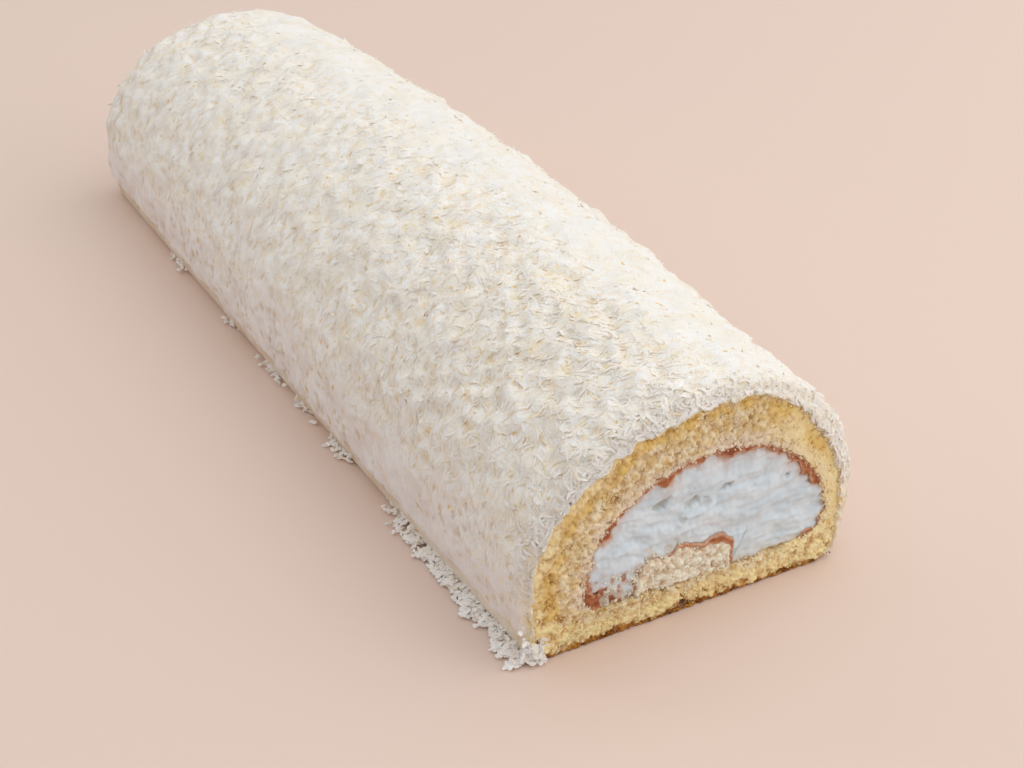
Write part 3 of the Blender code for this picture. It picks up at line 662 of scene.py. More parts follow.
def makeHeaps(material):
    rng = np.random.default_rng(footHeaps["seed"])
    heaps = np.repeat(np.arange(len(footHeaps["places"])), footHeaps["shreds"])
    count = len(heaps)
    along = np.array(footHeaps["places"])[heaps] + rng.normal(0, footHeaps["spread"], count)
    out = np.array(footHeaps["reach"])[heaps] * rng.random(count) ** footHeaps["nearer"]
    # drawn together in clumps a few millimetres across
    spot = np.stack([along, out], -1)
    along = along + footHeaps["pull"] * smoothNoise(spot, footHeaps["clump"], 44)
    out = np.maximum(out + footHeaps["pull"] * smoothNoise(spot, footHeaps["clump"], 47), -0.5)
    (runOut, least), (size, usual, much) = footHeaps["slope"], footHeaps["uneven"]
    uneven = usual + much * smoothNoise(spot, size, 48)
    top = footHeaps["height"] * np.clip(1 - out / runOut, least, 1) * uneven
    middle = np.stack([icingShape["footLeft"] - 1.0 - out, cutY + np.clip(along, 0.5, None),
                       0.35 + top * rng.random(count)], -1)
    more = footHeaps["corner"]
    across, before, up = footHeaps["cornerReach"]
    height = 0.4 + np.abs(rng.normal(0, up, more))
    leaning = icingShape["footLeft"] + 0.6 - footHeaps["cornerSlope"] * height
    cornerX, cornerY = leaning + rng.normal(0, across, more), cutY - 0.2 + rng.normal(0, before, more)
    middle = np.concatenate([middle, np.stack([cornerX, cornerY, height], -1)])
    count += more
    heading = rng.uniform(0, math.tau, count)
    pitch = rng.normal(0, footHeaps["pitch"], count)
    length = rng.uniform(*footHeaps["length"], count)
    curl = rng.normal(0, footHeaps["curl"] / 2, count)
    spine = []
    for part in np.linspace(-0.5, 0.5, 4):
        turn = heading + curl * part
        step = np.stack([np.cos(turn) * np.cos(pitch), np.sin(turn) * np.cos(pitch), np.sin(pitch)], -1)
        spine.append(middle + step * (length * part)[:, None])
    spine = np.stack(spine, 1)
    spine[..., 2] = np.maximum(spine[..., 2], footHeaps["lowest"])
    spine[..., 1] = np.maximum(spine[..., 1], cutY - footHeaps["furthest"])
    up = np.zeros(spine.shape)
    up[..., 2] = 1
    up[-more:] = footHeaps["cornerFacing"]
    rise = np.full(spine.shape[:2], footHeaps["rise"])
    makeStrips("heapedShreds", footHeaps, spine, up, rise, footHeaps["matting"], 1, rng, material)


sectionX = spongeLow[0] + 49.2  # the middle line that places on the cut are measured from


def wallAt(y, outline):
    return np.stack([outline[:, 0], np.full(len(outline), y), outline[:, 1]], -1)


def makeSlice(name, outer, inner, rows, relief, material, replaced, closed=False, outerBehind=None):
    # a length of one layer of the roll: a finely modelled cut face between two outlines, and plain sides
    shares = np.linspace(0, 1, rows)[:, None, None]
    face = outer[None] + (inner - outer)[None] * shares
    across = np.linalg.norm(inner - outer, axis=-1)[None, :]
    depth, masks = relief(face, shares[..., 0] * across, (1 - shares[..., 0]) * across)
    front = np.stack([face[..., 0], cutY + depth, face[..., 1]], -1)
    outerBehind = outer if outerBehind is None else outerBehind
    depths = (backY, cutY + 80, cutY + 4)
    verts = np.concatenate([[wallAt(y, outerBehind) for y in depths], front,
                            [wallAt(y, inner) for y in depths[::-1]]])
    total, columns = verts.shape[:2]
    index = np.arange(total * columns).reshape(total, columns)
    each = np.arange(columns if closed else columns - 1)
    after = (each + 1) % columns
    back = np.stack([index[0, each], index[0, after], index[-1, after], index[-1, each]], -1)
    faces = [gridFaces(total, columns, closed)[:, ::-1], back]
    if not closed:
        faces += [index[:, 0][None, :], index[:, -1][None, ::-1]]
    padded = {mask: np.pad(values, ((3, 3), (0, 0)), mode="edge") for mask, values in masks.items()}
    makePiece(name, verts, faces, material, padded, replaces=[replaced])


crumb = dict(  # torn by the knife; size and depth in mm, and how much darker it is down there
    # the third number of clumps, grain, pores and dust is how much painted shade darkens the crumb down in
    # them
    clumps=(2.7, 1.0, 0.55), grain=(1.15, 0.6, 0.45), pores=(2.6, 1.1, 0.8), poreShare=0.06,
    dust=(0.6, 0.12, 0.15), waver=(6.5, 0.5), torn=(1.3, 0.8),
)


def crumbRelief(face, coarse=1.0):
    size, much = crumb["torn"]
    torn = much * np.stack([smoothNoise(face, size, 61), smoothNoise(face, size, 62)], -1)
    size, clumpDepth, clumpShade = crumb["clumps"]
    clump = 1 - grains(face + torn, size * coarse, 51)
    size, grainDepth, grainShade = crumb["grain"]
    grain = 1 - grains(face + 0.5 * torn, size, 53)
    size, poreDepth, poreShade = crumb["pores"]
    pore = pits(face + 1.2 * torn, size, crumb["poreShare"], 55)
    size, dustDepth, dustShade = crumb["dust"]
    dust = smoothNoise(face, size, 56)
    size, height = crumb["waver"]
    low = clumpDepth * clump + grainDepth * grain + dustDepth * dust
    low += height * smoothNoise(face, size, 57) + poreDepth * pore
    # painted shade down in the crumb's clumps, grain and pores
    deep = clumpShade * clump ** 1.3 + grainShade * grain + poreShade * pore + dustShade * dust
    return low, np.clip(deep, 0, 1)


sponge = dict(
    proud=0.95, flatEdge=(0.3, 0.8), innerLip=(0.4, 0.1), innerEdge=((3.4, 0.5), (1.3, 0.5)),
    # on the right the crumb is also calmer and its painted shade in the hollows lighter
    closeCrumb=((22, 36), (8, 14)), closeness=(0.7, 0.85),  # less torn on the right
    seamX=-2.0, seamWidth=10.0, seamHeight=3.0,  # where the sheet's end is tucked under
    # the seam is coloured dark brown like the crust: partly the sheet's baked end, partly painted shade in
    # the crack
    seamDarkening=(3.0, (4.0, 2.6)), underside=((1.5, 0.7), (0.7, 0.5)),
    # the tones, in mm from the middle line, the floor, and the sheet's outer and inner faces
    # right and under turn the crumb golden: partly its own colour, partly painted light where the right side
    # was lit more, and painted reflection of warm light underneath
    left=(-14, -30), right=(20, 38), under=(8.5, 5.0), corner=((-30, -44), 5.0),
    # the yellow band just under the coat's edge is partly the crumb's own colour and partly painted shade of
    # the coat's overhang
    yolkAndShadeAt=(1.8, 3.8), yolkAndShadeWidth=3.0, ochre=(0.05, 1.1), ochreTone=(0.9, 0.5, 0.55), lowRight=(40, 30),
    leftRim=((4.2, 1.2), 0.85), stain=(4.6, 0.4), stainAbove=(9.0, 14.0),
    patches=((5.0, 1.0), (2.2, 0.6)), crust=(2.6, 0.8), crustEdge=((1.3, 1.4), (0.6, 0.6)),
)


def spongeTones(face, fromOuter, fromInner):
    # yolk-yellow patches with a yellow band under the coat's edge that is partly painted shade, a stain
    # beside the jam, a baked crust below, darker round the seam partly as painted shade, and golden crumb
    # right and underneath that is partly painted light and painted reflection
    x, z = face[..., 0] - sectionX, face[..., 1]
    patches = unevenness(face, sponge["patches"], 58, 59)
    left, right = smoothStep(*sponge["left"], x), smoothStep(*sponge["right"], x)
    reach, rise = sponge["corner"]
    under = smoothStep(*sponge["under"], z - rise * smoothStep(*reach, x) + 1.2 * smoothNoise(face, 3.0, 64))
    place, further = sponge["yolkAndShadeAt"]
    yolkAndShade = bell(fromOuter, place + further * left, sponge["yolkAndShadeWidth"])
    ofYolkAndShade, ofPatches, ofRight = sponge["ochreTone"]
    ochre = ofYolkAndShade * yolkAndShade + ofPatches * patches - ofRight * right * smoothStep(*sponge["lowRight"], z)
    ochre = 0.8 * smoothStep(*sponge["ochre"], ochre) * (1 - 0.8 * under)
    reach, much = sponge["leftRim"]
    rimmed = much * left * smoothStep(*reach, fromOuter + 0.9 * patches)
    stain = smoothStep(*sponge["stain"], fromInner + 2.0 * smoothNoise(face, 2.4, 60)) * (1 - 0.7 * right)
    stain = stain * smoothStep(*sponge["stainAbove"], z)
    crust = smoothStep(*sponge["crust"], z + unevenness(face, sponge["crustEdge"], 63, 65))
    width, height = sponge["seamDarkening"]
    seam = bell(x, sponge["seamX"], width) * smoothStep(*height, z)
    # crust takes in the seam's darkening, and golden carries the painted light on the right and the painted
    # reflection underneath
    return {"ochre": ochre, "stain": stain, "crust": np.maximum(crust, seam),
            "golden": np.maximum(np.maximum(0.9 * right, rimmed), under)}


def spongeRelief(face, fromOuter, fromInner):
    low, deep = crumbRelief(face)
    across, up = sponge["closeCrumb"]
    close = smoothStep(*across, face[..., 0] - sectionX) * smoothStep(*up, face[..., 1])
    (edge, much), (lip, height) = sponge["flatEdge"], sponge["innerLip"]
    calmer, lighter = sponge["closeness"]
    calm = (1 - much * np.exp(-fromOuter / edge)) * (1 - calmer * close)
    depth = (low - sponge["proud"]) * calm + height * np.exp(-fromInner / lip)
    # the painted shade in the crumb's hollows is lighter on the right
    return depth, dict(spongeTones(face, fromOuter, fromInner), deep=deep * (1 - lighter * close))


def raggedEdge(shape, along, uneven, *seeds):
    x, z = slump(*outlineAt(shape, along))
    ragged = unevenness(np.stack([x, z], -1), uneven, *seeds)
    return np.stack([x, z], -1) + np.stack(outward(x, z), -1) * ragged[:, None]


def hollowEdge(along):
    return raggedEdge(hollowShape, along, sponge["innerEdge"], 34, 35)


def makeSponge(material):
    stations = evenStations(spongeShape, 900)
    behind = np.stack(slump(*outlineAt(spongeShape, stations)), -1)
    outer = np.stack(frayedCut(stations, behind[:, 0], behind[:, 1]), -1)
    under = stations > 4
    ragged = sum(much * np.abs(smoothNoise(outer, size, seed))
                 for (size, much), seed in zip(sponge["underside"], (38, 39)))
    fromSeam = np.abs(outer[:, 0] - sectionX - sponge["seamX"])
    seam = sponge["seamHeight"] * np.clip(1 - fromSeam * 2 / sponge["seamWidth"], 0, 1)
    outer[:, 1] += (ragged + seam) * under
    behind[:, 1] += seam * under
    inner = hollowEdge(stations)
    makeSlice("spongeRoll", outer, inner, 44, spongeRelief, material, "sponge_roll",
              closed=True, outerBehind=behind)


jam = dict(
    thickness=1.5, least=0.08, uneven=((3.8, 1.5), (1.7, 0.6)), unevenLeft=(0.1, 0.08),
    # thicker or thinner places: share of the way round from the left foot, reach, and by how much
    pooled=((0.07, 0.07, 3.4), (0.93, 0.04, 1.3), (0.5, 0.15, 0.5),
            (0.17, 0.06, 1.7), (0.82, 0.06, -1.3), (0.3, 0.04, -0.9)),
    bare=((0.69, 0.72), (0.9, 0.87)),  # hardly any low on the right
    lumps=((1.8, 0.4), (0.8, 0.2)), sunk=0.1, lip=(0.3, 0.1),
)


def jamThickness(along, edge):
    share = along / 4
    ends = smoothStep(0, 0.03, share) * smoothStep(1, 0.96, share)
    (broad, much), (narrow, little) = jam["uneven"]
    uneven = (much + bell(share, *jam["unevenLeft"])) * smoothNoise(edge, broad, 36)
    uneven = uneven + little * smoothNoise(edge, narrow, 37)
    thickness = jam["thickness"] + sum(by * bell(share, place, reach) for place, reach, by in jam["pooled"])
    start, end = jam["bare"]
    bare = smoothStep(*start, share) * smoothStep(*end, share)
    return ends * np.maximum((thickness + uneven) * (1 - bare), jam["least"])


def jamRelief(face, fromOuter, fromInner):
    edge = np.minimum(fromOuter, fromInner)
    lip, height = jam["lip"]
    depth = jam["sunk"] + unevenness(face, jam["lumps"], 71, 72) + height * np.exp(-edge / lip)
    return depth, {"thick": smoothStep(0.0, 1.0, edge)}


cream = dict(
    strokes=(2.4, 0.55), strokeLength=4.0, strokeRise=-0.02, sway=(11.0, 1.2),  # the knife's smears
    uneven=((3.5, 0.3), (1.1, 0.2)), sunk=0.6, lip=(0.4, 0.1), soiledUneven=(1.5, 0.5),
    # air holes: across, up, half width, half height and depth
    holes=((-10, 36.5, 2.4, 1.7, 1.7), (0.5, 33.5, 3.0, 1.3, 1.4), (10.5, 36, 2.0, 1.3, 1.8),
           (31, 32.5, 1.0, 0.9, 1.3), (4.5, 33.0, 2.0, 0.9, 0.9), (-3, 29.5, 1.4, 1.0, 0.8)),
    # the last hole value is the depth at which the grey painted shade in a hole is full
    holeSlope=0.25, holeRagged=((2.3, 1.1), (1.7, 0.9), (0.9, 0.4)), holeEdge=(1.2, 0.35), holeShadeDepth=2.4,
    # the fold the knife left under them: across, up, slope, width and height, and where it starts and ends
    ridge=(2, 30.5, 0.16, 0.8, 0.9), ridgeEnds=((-5, -1), (16, 6)),
    # stained by jam: at its edge, and further in along the top
    stain=((1.6, 0.2), 1.6, 1.1, 0.7), topStain=((6.0, 1.0), 2.4, 2.5, 0.35), topFrom=(26, 32),
    # soiled with crumb low down, in the left corner and beside the fold
    low=(14, 8), leftCorner=((-20, -26), (20, 12)), besideFold=((3.5, 0.5), 2.0, 2.5, 0.8),
    leftOfFold=(0, -6),
    # smeared and spotted with jam at the lower left: how much of the noise, its size, from where, below where
    smears=((0.15, 0.5), 2.6, (-15, -20), (24, 18)), smearTone=0.9,
    spots=((0.12, 0.38), 1.7, (-8, -16), (22, 16)),
)


def spotted(face, amount, size, left, below, seed):
    spots = smoothStep(*amount, smoothNoise(face, size, seed))
    return spots * smoothStep(*left, face[..., 0] - sectionX) * smoothStep(*below, face[..., 1])


def creamRelief(face, fromOuter, fromInner):
    x, z = face[..., 0] - sectionX, face[..., 1]
    size, height = cream["strokes"]
    swaySize, sway = cream["sway"]
    run = np.stack([(x + cream["strokeRise"] * z) / cream["strokeLength"],
                    z - cream["strokeRise"] * x + sway * smoothNoise(face, swaySize, 80)], -1)
    depth = height * (smoothNoise(run, size, 73) + 0.5 * smoothNoise(run, size * 0.4, 74))
    depth += cream["sunk"] + unevenness(face, cream["uneven"], 75, 76)

    hole = np.zeros(x.shape)
    ragged = [unevenness(face, (layer,), seed) for layer, seed in zip(cream["holeRagged"], (82, 83, 77))]
    for holeX, holeZ, wide, high, deepest in cream["holes"]:
        acrossHole = x - holeX + ragged[0]
        upHole = z - holeZ - cream["holeSlope"] * (x - holeX) + ragged[1]
        reach = (acrossHole / wide) ** 2 + (upHole / high) ** 2 + ragged[2]
        hole = np.maximum(hole, deepest * smoothStep(*cream["holeEdge"], reach))
    (ridgeX, ridgeZ, slope, width, height), (start, end) = cream["ridge"], cream["ridgeEnds"]
    ridge = height * bell(z - ridgeZ - slope * (x - ridgeX), 0, width)
    ridge = ridge * smoothStep(*start, x) * smoothStep(*end, x)

    reach, size, much, tone = cream["stain"]
    stain = tone * smoothStep(*reach, fromOuter + much * smoothNoise(face, size, 78))
    reach, size, much, tone = cream["topStain"]
    topStain = tone * smoothStep(*reach, fromOuter + much * smoothNoise(face, size, 88))
    stain = stain + topStain * smoothStep(*cream["topFrom"], z)
    across, up = cream["leftCorner"]
    soiled = smoothStep(*cream["low"], z) + smoothStep(*across, x) * smoothStep(*up, z)
    reach, size, much, tone = cream["besideFold"]
    crumbs = tone * smoothStep(*reach, fromInner + much * smoothNoise(face, size, 85))
    soiled = soiled + crumbs * smoothStep(*cream["leftOfFold"], x)
    size, much = cream["soiledUneven"]
    depth = depth + much * soiled * smoothNoise(face, size, 87)
    smears = cream["smearTone"] * spotted(face, *cream["smears"], 84)
    lip, height = cream["lip"]
    depth = depth + hole - ridge + height * np.exp(-np.minimum(fromOuter, fromInner) / lip)
    # deep is grey painted shade down in the air holes
    return depth, {"stain": np.maximum(stain, smears), "deep": np.clip(hole / cream["holeShadeDepth"], 0, 1),
                   "soiled": np.clip(soiled, 0, 1), "jammy": spotted(face, *cream["spots"], 86)}


fold = dict(  # the sheet's inner end, soaked with jam on its right and top
    uneven=((2.6, 0.9), (1.0, 0.45)), coarse=0.8, proud=0.9, lip=(0.5, 0.2),
    soaked=((2.6, 0.3), 2.0, 1.5), soakedAbove=(12, 17), spineEnds=7.0, spineHeight=5.0,
    jamAt=(0, 0.25, 0.45, 0.55, 0.7, 0.85, 1), jam=(0, 0, 0.2, 1.3, 2.1, 1.5, 0.3),
    jamUneven=(2.6, 0.7), leastJam=0.05,
)


def foldJamThickness(along, edge):
    share = along / 4
    ends = smoothStep(0.02, 0.12, share) * smoothStep(0.97, 0.9, share)
    size, much = fold["jamUneven"]
    thickness = np.interp(share, fold["jamAt"], fold["jam"]) * (1 + much * smoothNoise(edge, size, 43))
    return ends * np.maximum(thickness, fold["leastJam"])


def foldRelief(face, fromOuter, fromInner):
    low, deep = crumbRelief(face, fold["coarse"])
    (lip, height), (reach, size, much) = fold["lip"], fold["soaked"]
    soaked = smoothStep(*reach, fromOuter + much * smoothNoise(face, size, 79))
    soaked = soaked * smoothStep(*fold["soakedAbove"], face[..., 1])
    plain = dict.fromkeys(("ochre", "crust", "golden"), np.zeros(deep.shape))
    return low - fold["proud"] + height * np.exp(-fromOuter / lip), dict(plain, deep=deep, stain=soaked)


looseCrumbs = dict(
    count=4300, size=(0.35, 1.05), reach=0.6, onJam=1.0, onIcing=1.3, underfoot=520, onFold=900, mixedIn=0.15,
    stretch=(0.65, 1.25), bulge=(0.75, 1.2), heaped=(1.6, 0.35), sunk=0.25, belowEdge=0.06, seed=108,
)


def crumbLumps(middle, size, rng):
    # uneven little lumps of crumb, each with 20 sides
    golden = (1 + math.sqrt(5)) / 2
    flat = [(a, b * golden, 0) for b in (1, -1) for a in (-1, 1)]
    corners = flat + [(c, a, b) for a, b, c in flat] + [(b, c, a) for a, b, c in flat]
    sides = [(0, 11, 5), (0, 5, 1), (0, 1, 7), (0, 7, 10), (0, 10, 11), (1, 5, 9), (5, 11, 4), (11, 10, 2),
             (10, 7, 6), (7, 1, 8), (3, 9, 4), (3, 4, 2), (3, 2, 6), (3, 6, 8), (3, 8, 9), (4, 9, 5),
             (2, 4, 11), (6, 2, 10), (8, 6, 7), (9, 8, 1)]
    count = len(middle)
    stretch = rng.uniform(*looseCrumbs["stretch"], (count, 1, 3))
    stretch = stretch * rng.uniform(*looseCrumbs["bulge"], (count, 12, 1))
    verts = middle[:, None] + np.array(corners) / math.hypot(1, golden) * stretch * (size / 2)[:, None, None]
    verts[..., 2] = np.maximum(verts[..., 2], 0.0)
    return verts, (np.array(sides)[None] + 12 * np.arange(count)[:, None, None]).reshape(-1, 3)


def crumbSizes(count, rng):
    small, large = looseCrumbs["size"]
    return small + (large - small) * rng.random(count) ** 2


def makeCrumbs(material):
    # crumbs torn up by the knife, that stand a little proud of the cut sponge, lie over the jam's edge
    # and hang along the underside
    rng = np.random.default_rng(looseCrumbs["seed"])
    count, under, below = looseCrumbs["count"], looseCrumbs["underfoot"], looseCrumbs["belowEdge"]
    stations = evenStations(spongeShape, 900)
    outer = np.stack(frayedCut(stations, *slump(*outlineAt(spongeShape, stations))), -1)
    inner = hollowEdge(stations)
    width = np.linalg.norm(inner - outer, axis=1)
    weight = width * np.linalg.norm(np.roll(outer + inner, -1, 0) - outer - inner, axis=1)
    station = rng.choice(len(stations), count, p=weight / weight.sum())
    share = rng.uniform(-looseCrumbs["onIcing"] / width[station], 1 + looseCrumbs["onJam"] / width[station])
    base = rng.choice(np.nonzero(stations > 4)[0], under)
    station = np.concatenate([station, base])
    share = np.concatenate([share, rng.uniform(-below, below, under)])
    spot = outer[station] + (inner[station] - outer[station]) * share[:, None]
    size = crumbSizes(count + under, rng)
    lump, much = looseCrumbs["heaped"]
    out = looseCrumbs["reach"] * rng.random(count + under) + much * smoothNoise(spot, lump, 66)
    middle = np.stack([spot[:, 0], cutY - out + looseCrumbs["sunk"], np.maximum(spot[:, 1], size * 0.7)], -1)
    verts, faces = crumbLumps(middle, size, rng)
    tones = spongeTones(spot, share * width[station], np.maximum((1 - share) * width[station], 0))
    tones["deep"] = 0.75 * rng.random(count + under) ** 2.5
    tones["crust"][count:] = np.maximum(tones["crust"][count:], rng.random(under))
    makePiece("spongeCrumbs", verts, [faces], material,
              {mask: np.repeat(values, 12) for mask, values in tones.items()})


def makeFoldCrumbs(outline, spine, material):
    rng = np.random.default_rng(looseCrumbs["seed"] + 1)
    count = looseCrumbs["onFold"]
    station = rng.integers(0, len(outline), count)
    pastEdge = 1.04 + 0.25 * smoothStep(0, -8, outline[station, 0] - sectionX)  # most of all on the left
    share = 1 - np.sqrt(rng.random(count)) * pastEdge
    spot = outline[station] + (spine[station] - outline[station]) * share[:, None]
    # some lie mixed into the cream on the left of it
    mixedIn = rng.random(count) < looseCrumbs["mixedIn"]
    across = foldLow[0] + 2 - 11 * rng.random(count) ** 1.3
    spot[mixedIn, 0] = across[mixedIn]
    spot[mixedIn, 1] = (foldLow[2] + 0.5 + 9 * rng.random(count))[mixedIn]
    middle = np.stack([spot[:, 0], cutY + 0.7 - looseCrumbs["reach"] * rng.random(count), spot[:, 1]], -1)
    verts, faces = crumbLumps(middle, crumbSizes(count, rng), rng)
    tones = dict.fromkeys(("ochre", "crust", "golden"), np.zeros(count))
    soaked = smoothStep(0.25, 0.0, share) * smoothStep(*fold["soakedAbove"], spot[:, 1])
    tones["stain"] = soaked * rng.random(count)
    tones["deep"] = 0.7 * rng.random(count) ** 2.5
    makePiece("foldCrumbs", verts, [faces], material,
              {mask: np.repeat(values, 12) for mask, values in tones.items()})


def makeFilling(jamMaterial, creamMaterial, foldMaterial):
    # the outlines are shared, so that each layer starts where the last one ends
    stations = evenStations(hollowShape, 520, end=4.0)
    liningOuter = hollowEdge(stations)
    out = np.stack(outward(*slump(*outlineAt(hollowShape, stations))), -1)
    liningInner = liningOuter - out * jamThickness(stations, liningOuter)[:, None]
    makeSlice("jamLining", liningOuter, liningInner, 9, jamRelief, jamMaterial, "jam_lining")

    foldStations = evenStations(foldShape, 260, end=4.0)
    foldOuter = raggedEdge(foldShape, foldStations, fold["uneven"], 41, 42)
    out = np.stack(outward(*outlineAt(foldShape, foldStations)), -1)
    foldJam = foldOuter + out * foldJamThickness(foldStations, foldOuter)[:, None]
    makeSlice("jamOnFold", foldJam, foldOuter, 8, jamRelief, jamMaterial, "jam_on_fold")
    base = foldOuter[-1] + (foldOuter[0] - foldOuter[-1]) * np.linspace(0, 1, 92)[1:-1, None]
    closedFold = np.concatenate([foldOuter, base])
    # the cut face runs in to a short level line
    spineX = np.clip(closedFold[:, 0], foldLow[0] + fold["spineEnds"], foldHigh[0] - fold["spineEnds"])
    spine = np.stack([spineX, np.full(len(closedFold), foldLow[2] + fold["spineHeight"])], -1)
    makeSlice("foldedSponge", closedFold, spine, 22, foldRelief, foldMaterial, "sponge_fold",
              closed=True)
    makeFoldCrumbs(closedFold, spine, foldMaterial)

    # inside the cream: along the base to the fold, over it, and on along the base
    innerPath = np.concatenate([[liningInner[0]], foldJam, [liningInner[-1]]])
    run = np.concatenate([[0], np.cumsum(np.linalg.norm(np.diff(innerPath, axis=0), axis=1))])
    places = np.linspace(0, run[-1], len(stations))
    inner = np.stack([np.interp(places, run, innerPath[:, k]) for k in (0, 1)], -1)
    makeSlice("creamFilling", liningInner, inner, 54, creamRelief, creamMaterial, "cream_filling")


def overlaid(tree, body, *layers):
    # lays one colour over another, each where its mask says: the name of a vertex mask, or a socket
    for mask, colour in layers:
        if isinstance(mask, str):
            mask = addNode(tree, "ShaderNodeAttribute", attribute_name=mask).outputs["Fac"]
        colour = toLinear(colour) if isinstance(colour, str) else colour
        body = addNode(tree, "ShaderNodeMix", {0: mask, 6: body, 7: colour}, data_type="RGBA").outputs[2]
    return body


def finish(tree, shader, colour, relief, deep, strength, values):
    # the last step of every material: its colour, a fine relief so many mm deep, and the shader's own values
    bump = addNode(tree, "ShaderNodeBump",
                   {"Height": relief.outputs[0], "Distance": deep * mm, "Strength": strength})
    tree.links.new(colour, shader.inputs["Base Color"])
    tree.links.new(bump.outputs[0], shader.inputs["Normal"])
    for name, value in values.items():
        shader.inputs[name].default_value = value


def whippedIcingMaterial():
    # whipped cream icing, patted on by hand: soft satin white, with butter yellow painted shade between
    # the matted shreds, tan painted shade in its pits and crease, and beige painted shade and painted
    # reflection at the foot, where it is pressed thin
    material, tree, shader, place = newMaterial("whippedIcing")
    mottle = addNode(tree, "ShaderNodeTexNoise", {"Vector": place, "Scale": featureScale(11), "Detail": 4.0})
    # the third tone is beige painted shade and painted reflection, for the band at the foot
    side, matted, thin = [
        addNode(tree, "ShaderNodeValToRGB", {0: mottle.outputs[0]}, stops=stops).outputs[0]
        for stops in ([(0.35, "#EFE7E1"), (0.62, "#F7F3EF")], [(0.38, "#F7F0E2"), (0.55, "#F9F5EE")],
                      [(0.38, "#E6D4BA"), (0.6, "#F1E7D8")])]
    drawn = addNode(tree, "ShaderNodeMapping", {"Vector": place, "Scale": (1.0, 1.0, 0.45)})  # down the side
    speck = addNode(tree, "ShaderNodeTexNoise",
                    {"Vector": drawn.outputs[0], "Scale": featureScale(1.9), "Detail": 1.0})
    speckled = addNode(tree, "ShaderNodeMapRange", {0: speck.outputs[0], 1: 0.69, 2: 0.77})
    frayed = addNode(tree, "ShaderNodeTexNoise", {"Vector": place, "Scale": featureScale(4.0), "Detail": 3.0})
    rim = addNode(tree, "ShaderNodeValToRGB", {0: frayed.outputs[0]},
                  stops=[(0.38, "#EFD79C"), (0.55, "#F6ECD6")])
    # valley, pit and bare lay painted shade over the white: butter yellow between shreds, tan in pits and
    # crease, beige at the foot
    body = overlaid(tree, side, ("loose", matted), (speckled.outputs[0], "#EBCB8C"), ("valley", "#F3E0BC"),
                    ("pit", "#D2B284"), ("bare", thin), ("rim", rim.outputs[0]))
    # the fibres are a tenth of a millimetre thick: drawn 0.9 mm apart, so that they show at all
    fibre = addNode(tree, "ShaderNodeTexNoise", {"Vector": drawn.outputs[0], "Scale": featureScale(0.9),
                                                 "Detail": 3.0, "Distortion": 0.6})
    finish(tree, shader, body, fibre, 0.5, 0.85, {
        "Roughness": 0.6, "IOR": 1.45, "Specular IOR Level": 0.35, "Subsurface Weight": 0.2,
        "Subsurface Radius": (1.0, 0.85, 0.65), "Subsurface Scale": 1.0 * mm})
    return material


def shreddedCoconutMaterial():
    # desiccated coconut, grated in strips and dried: matt white fibre, with creamy painted shade where it
    # lies deep
    material, tree, shader, place = newMaterial("shreddedCoconut")
    rise, tint = [addNode(tree, "ShaderNodeAttribute", attribute_name=mask).outputs["Fac"]
                  for mask in ("rise", "tint")]
    # the rise ramp paints warm shade: creamy yellow on fibre lying low in the coat
    deep = addNode(tree, "ShaderNodeValToRGB", {0: rise},
                   stops=[(0.0, "#F5DEB2"), (0.13, "#FAF0DE"), (0.35, "#FBF6EE"), (1.0, "#FDFAF6")])
    aged = addNode(tree, "ShaderNodeValToRGB", {0: tint},
                   stops=[(0.0, "#FFFFFF"), (0.9, "#FDFBF8"), (1.0, "#F8EDD6")])
    colour = addNode(tree, "ShaderNodeMix", {0: 1.0, 6: deep.outputs[0], 7: aged.outputs[0]},
                     data_type="RGBA", blend_type="MULTIPLY").outputs[2]
    drawn = addNode(tree, "ShaderNodeMapping", {"Vector": place, "Scale": (1.0, 1.0, 0.45)})
    speck = addNode(tree, "ShaderNodeTexNoise",
                    {"Vector": drawn.outputs[0], "Scale": featureScale(1.9), "Detail": 1.0})
    speckled = addNode(tree, "ShaderNodeMapRange", {0: speck.outputs[0], 1: 0.72, 2: 0.8})
    colour = overlaid(tree, colour, (speckled.outputs[0], "#F0D6A0"))
    # the grain of the flesh is finer than this, and drawn as coarse as a shred is wide
    fibre = addNode(tree, "ShaderNodeTexNoise", {"Vector": place, "Scale": featureScale(0.5), "Detail": 2.0})
    finish(tree, shader, colour, fibre, 0.1, 0.3, {
        "Roughness": 0.7, "IOR": 1.45, "Specular IOR Level": 0.15, "Subsurface Weight": 0.0})
    return material


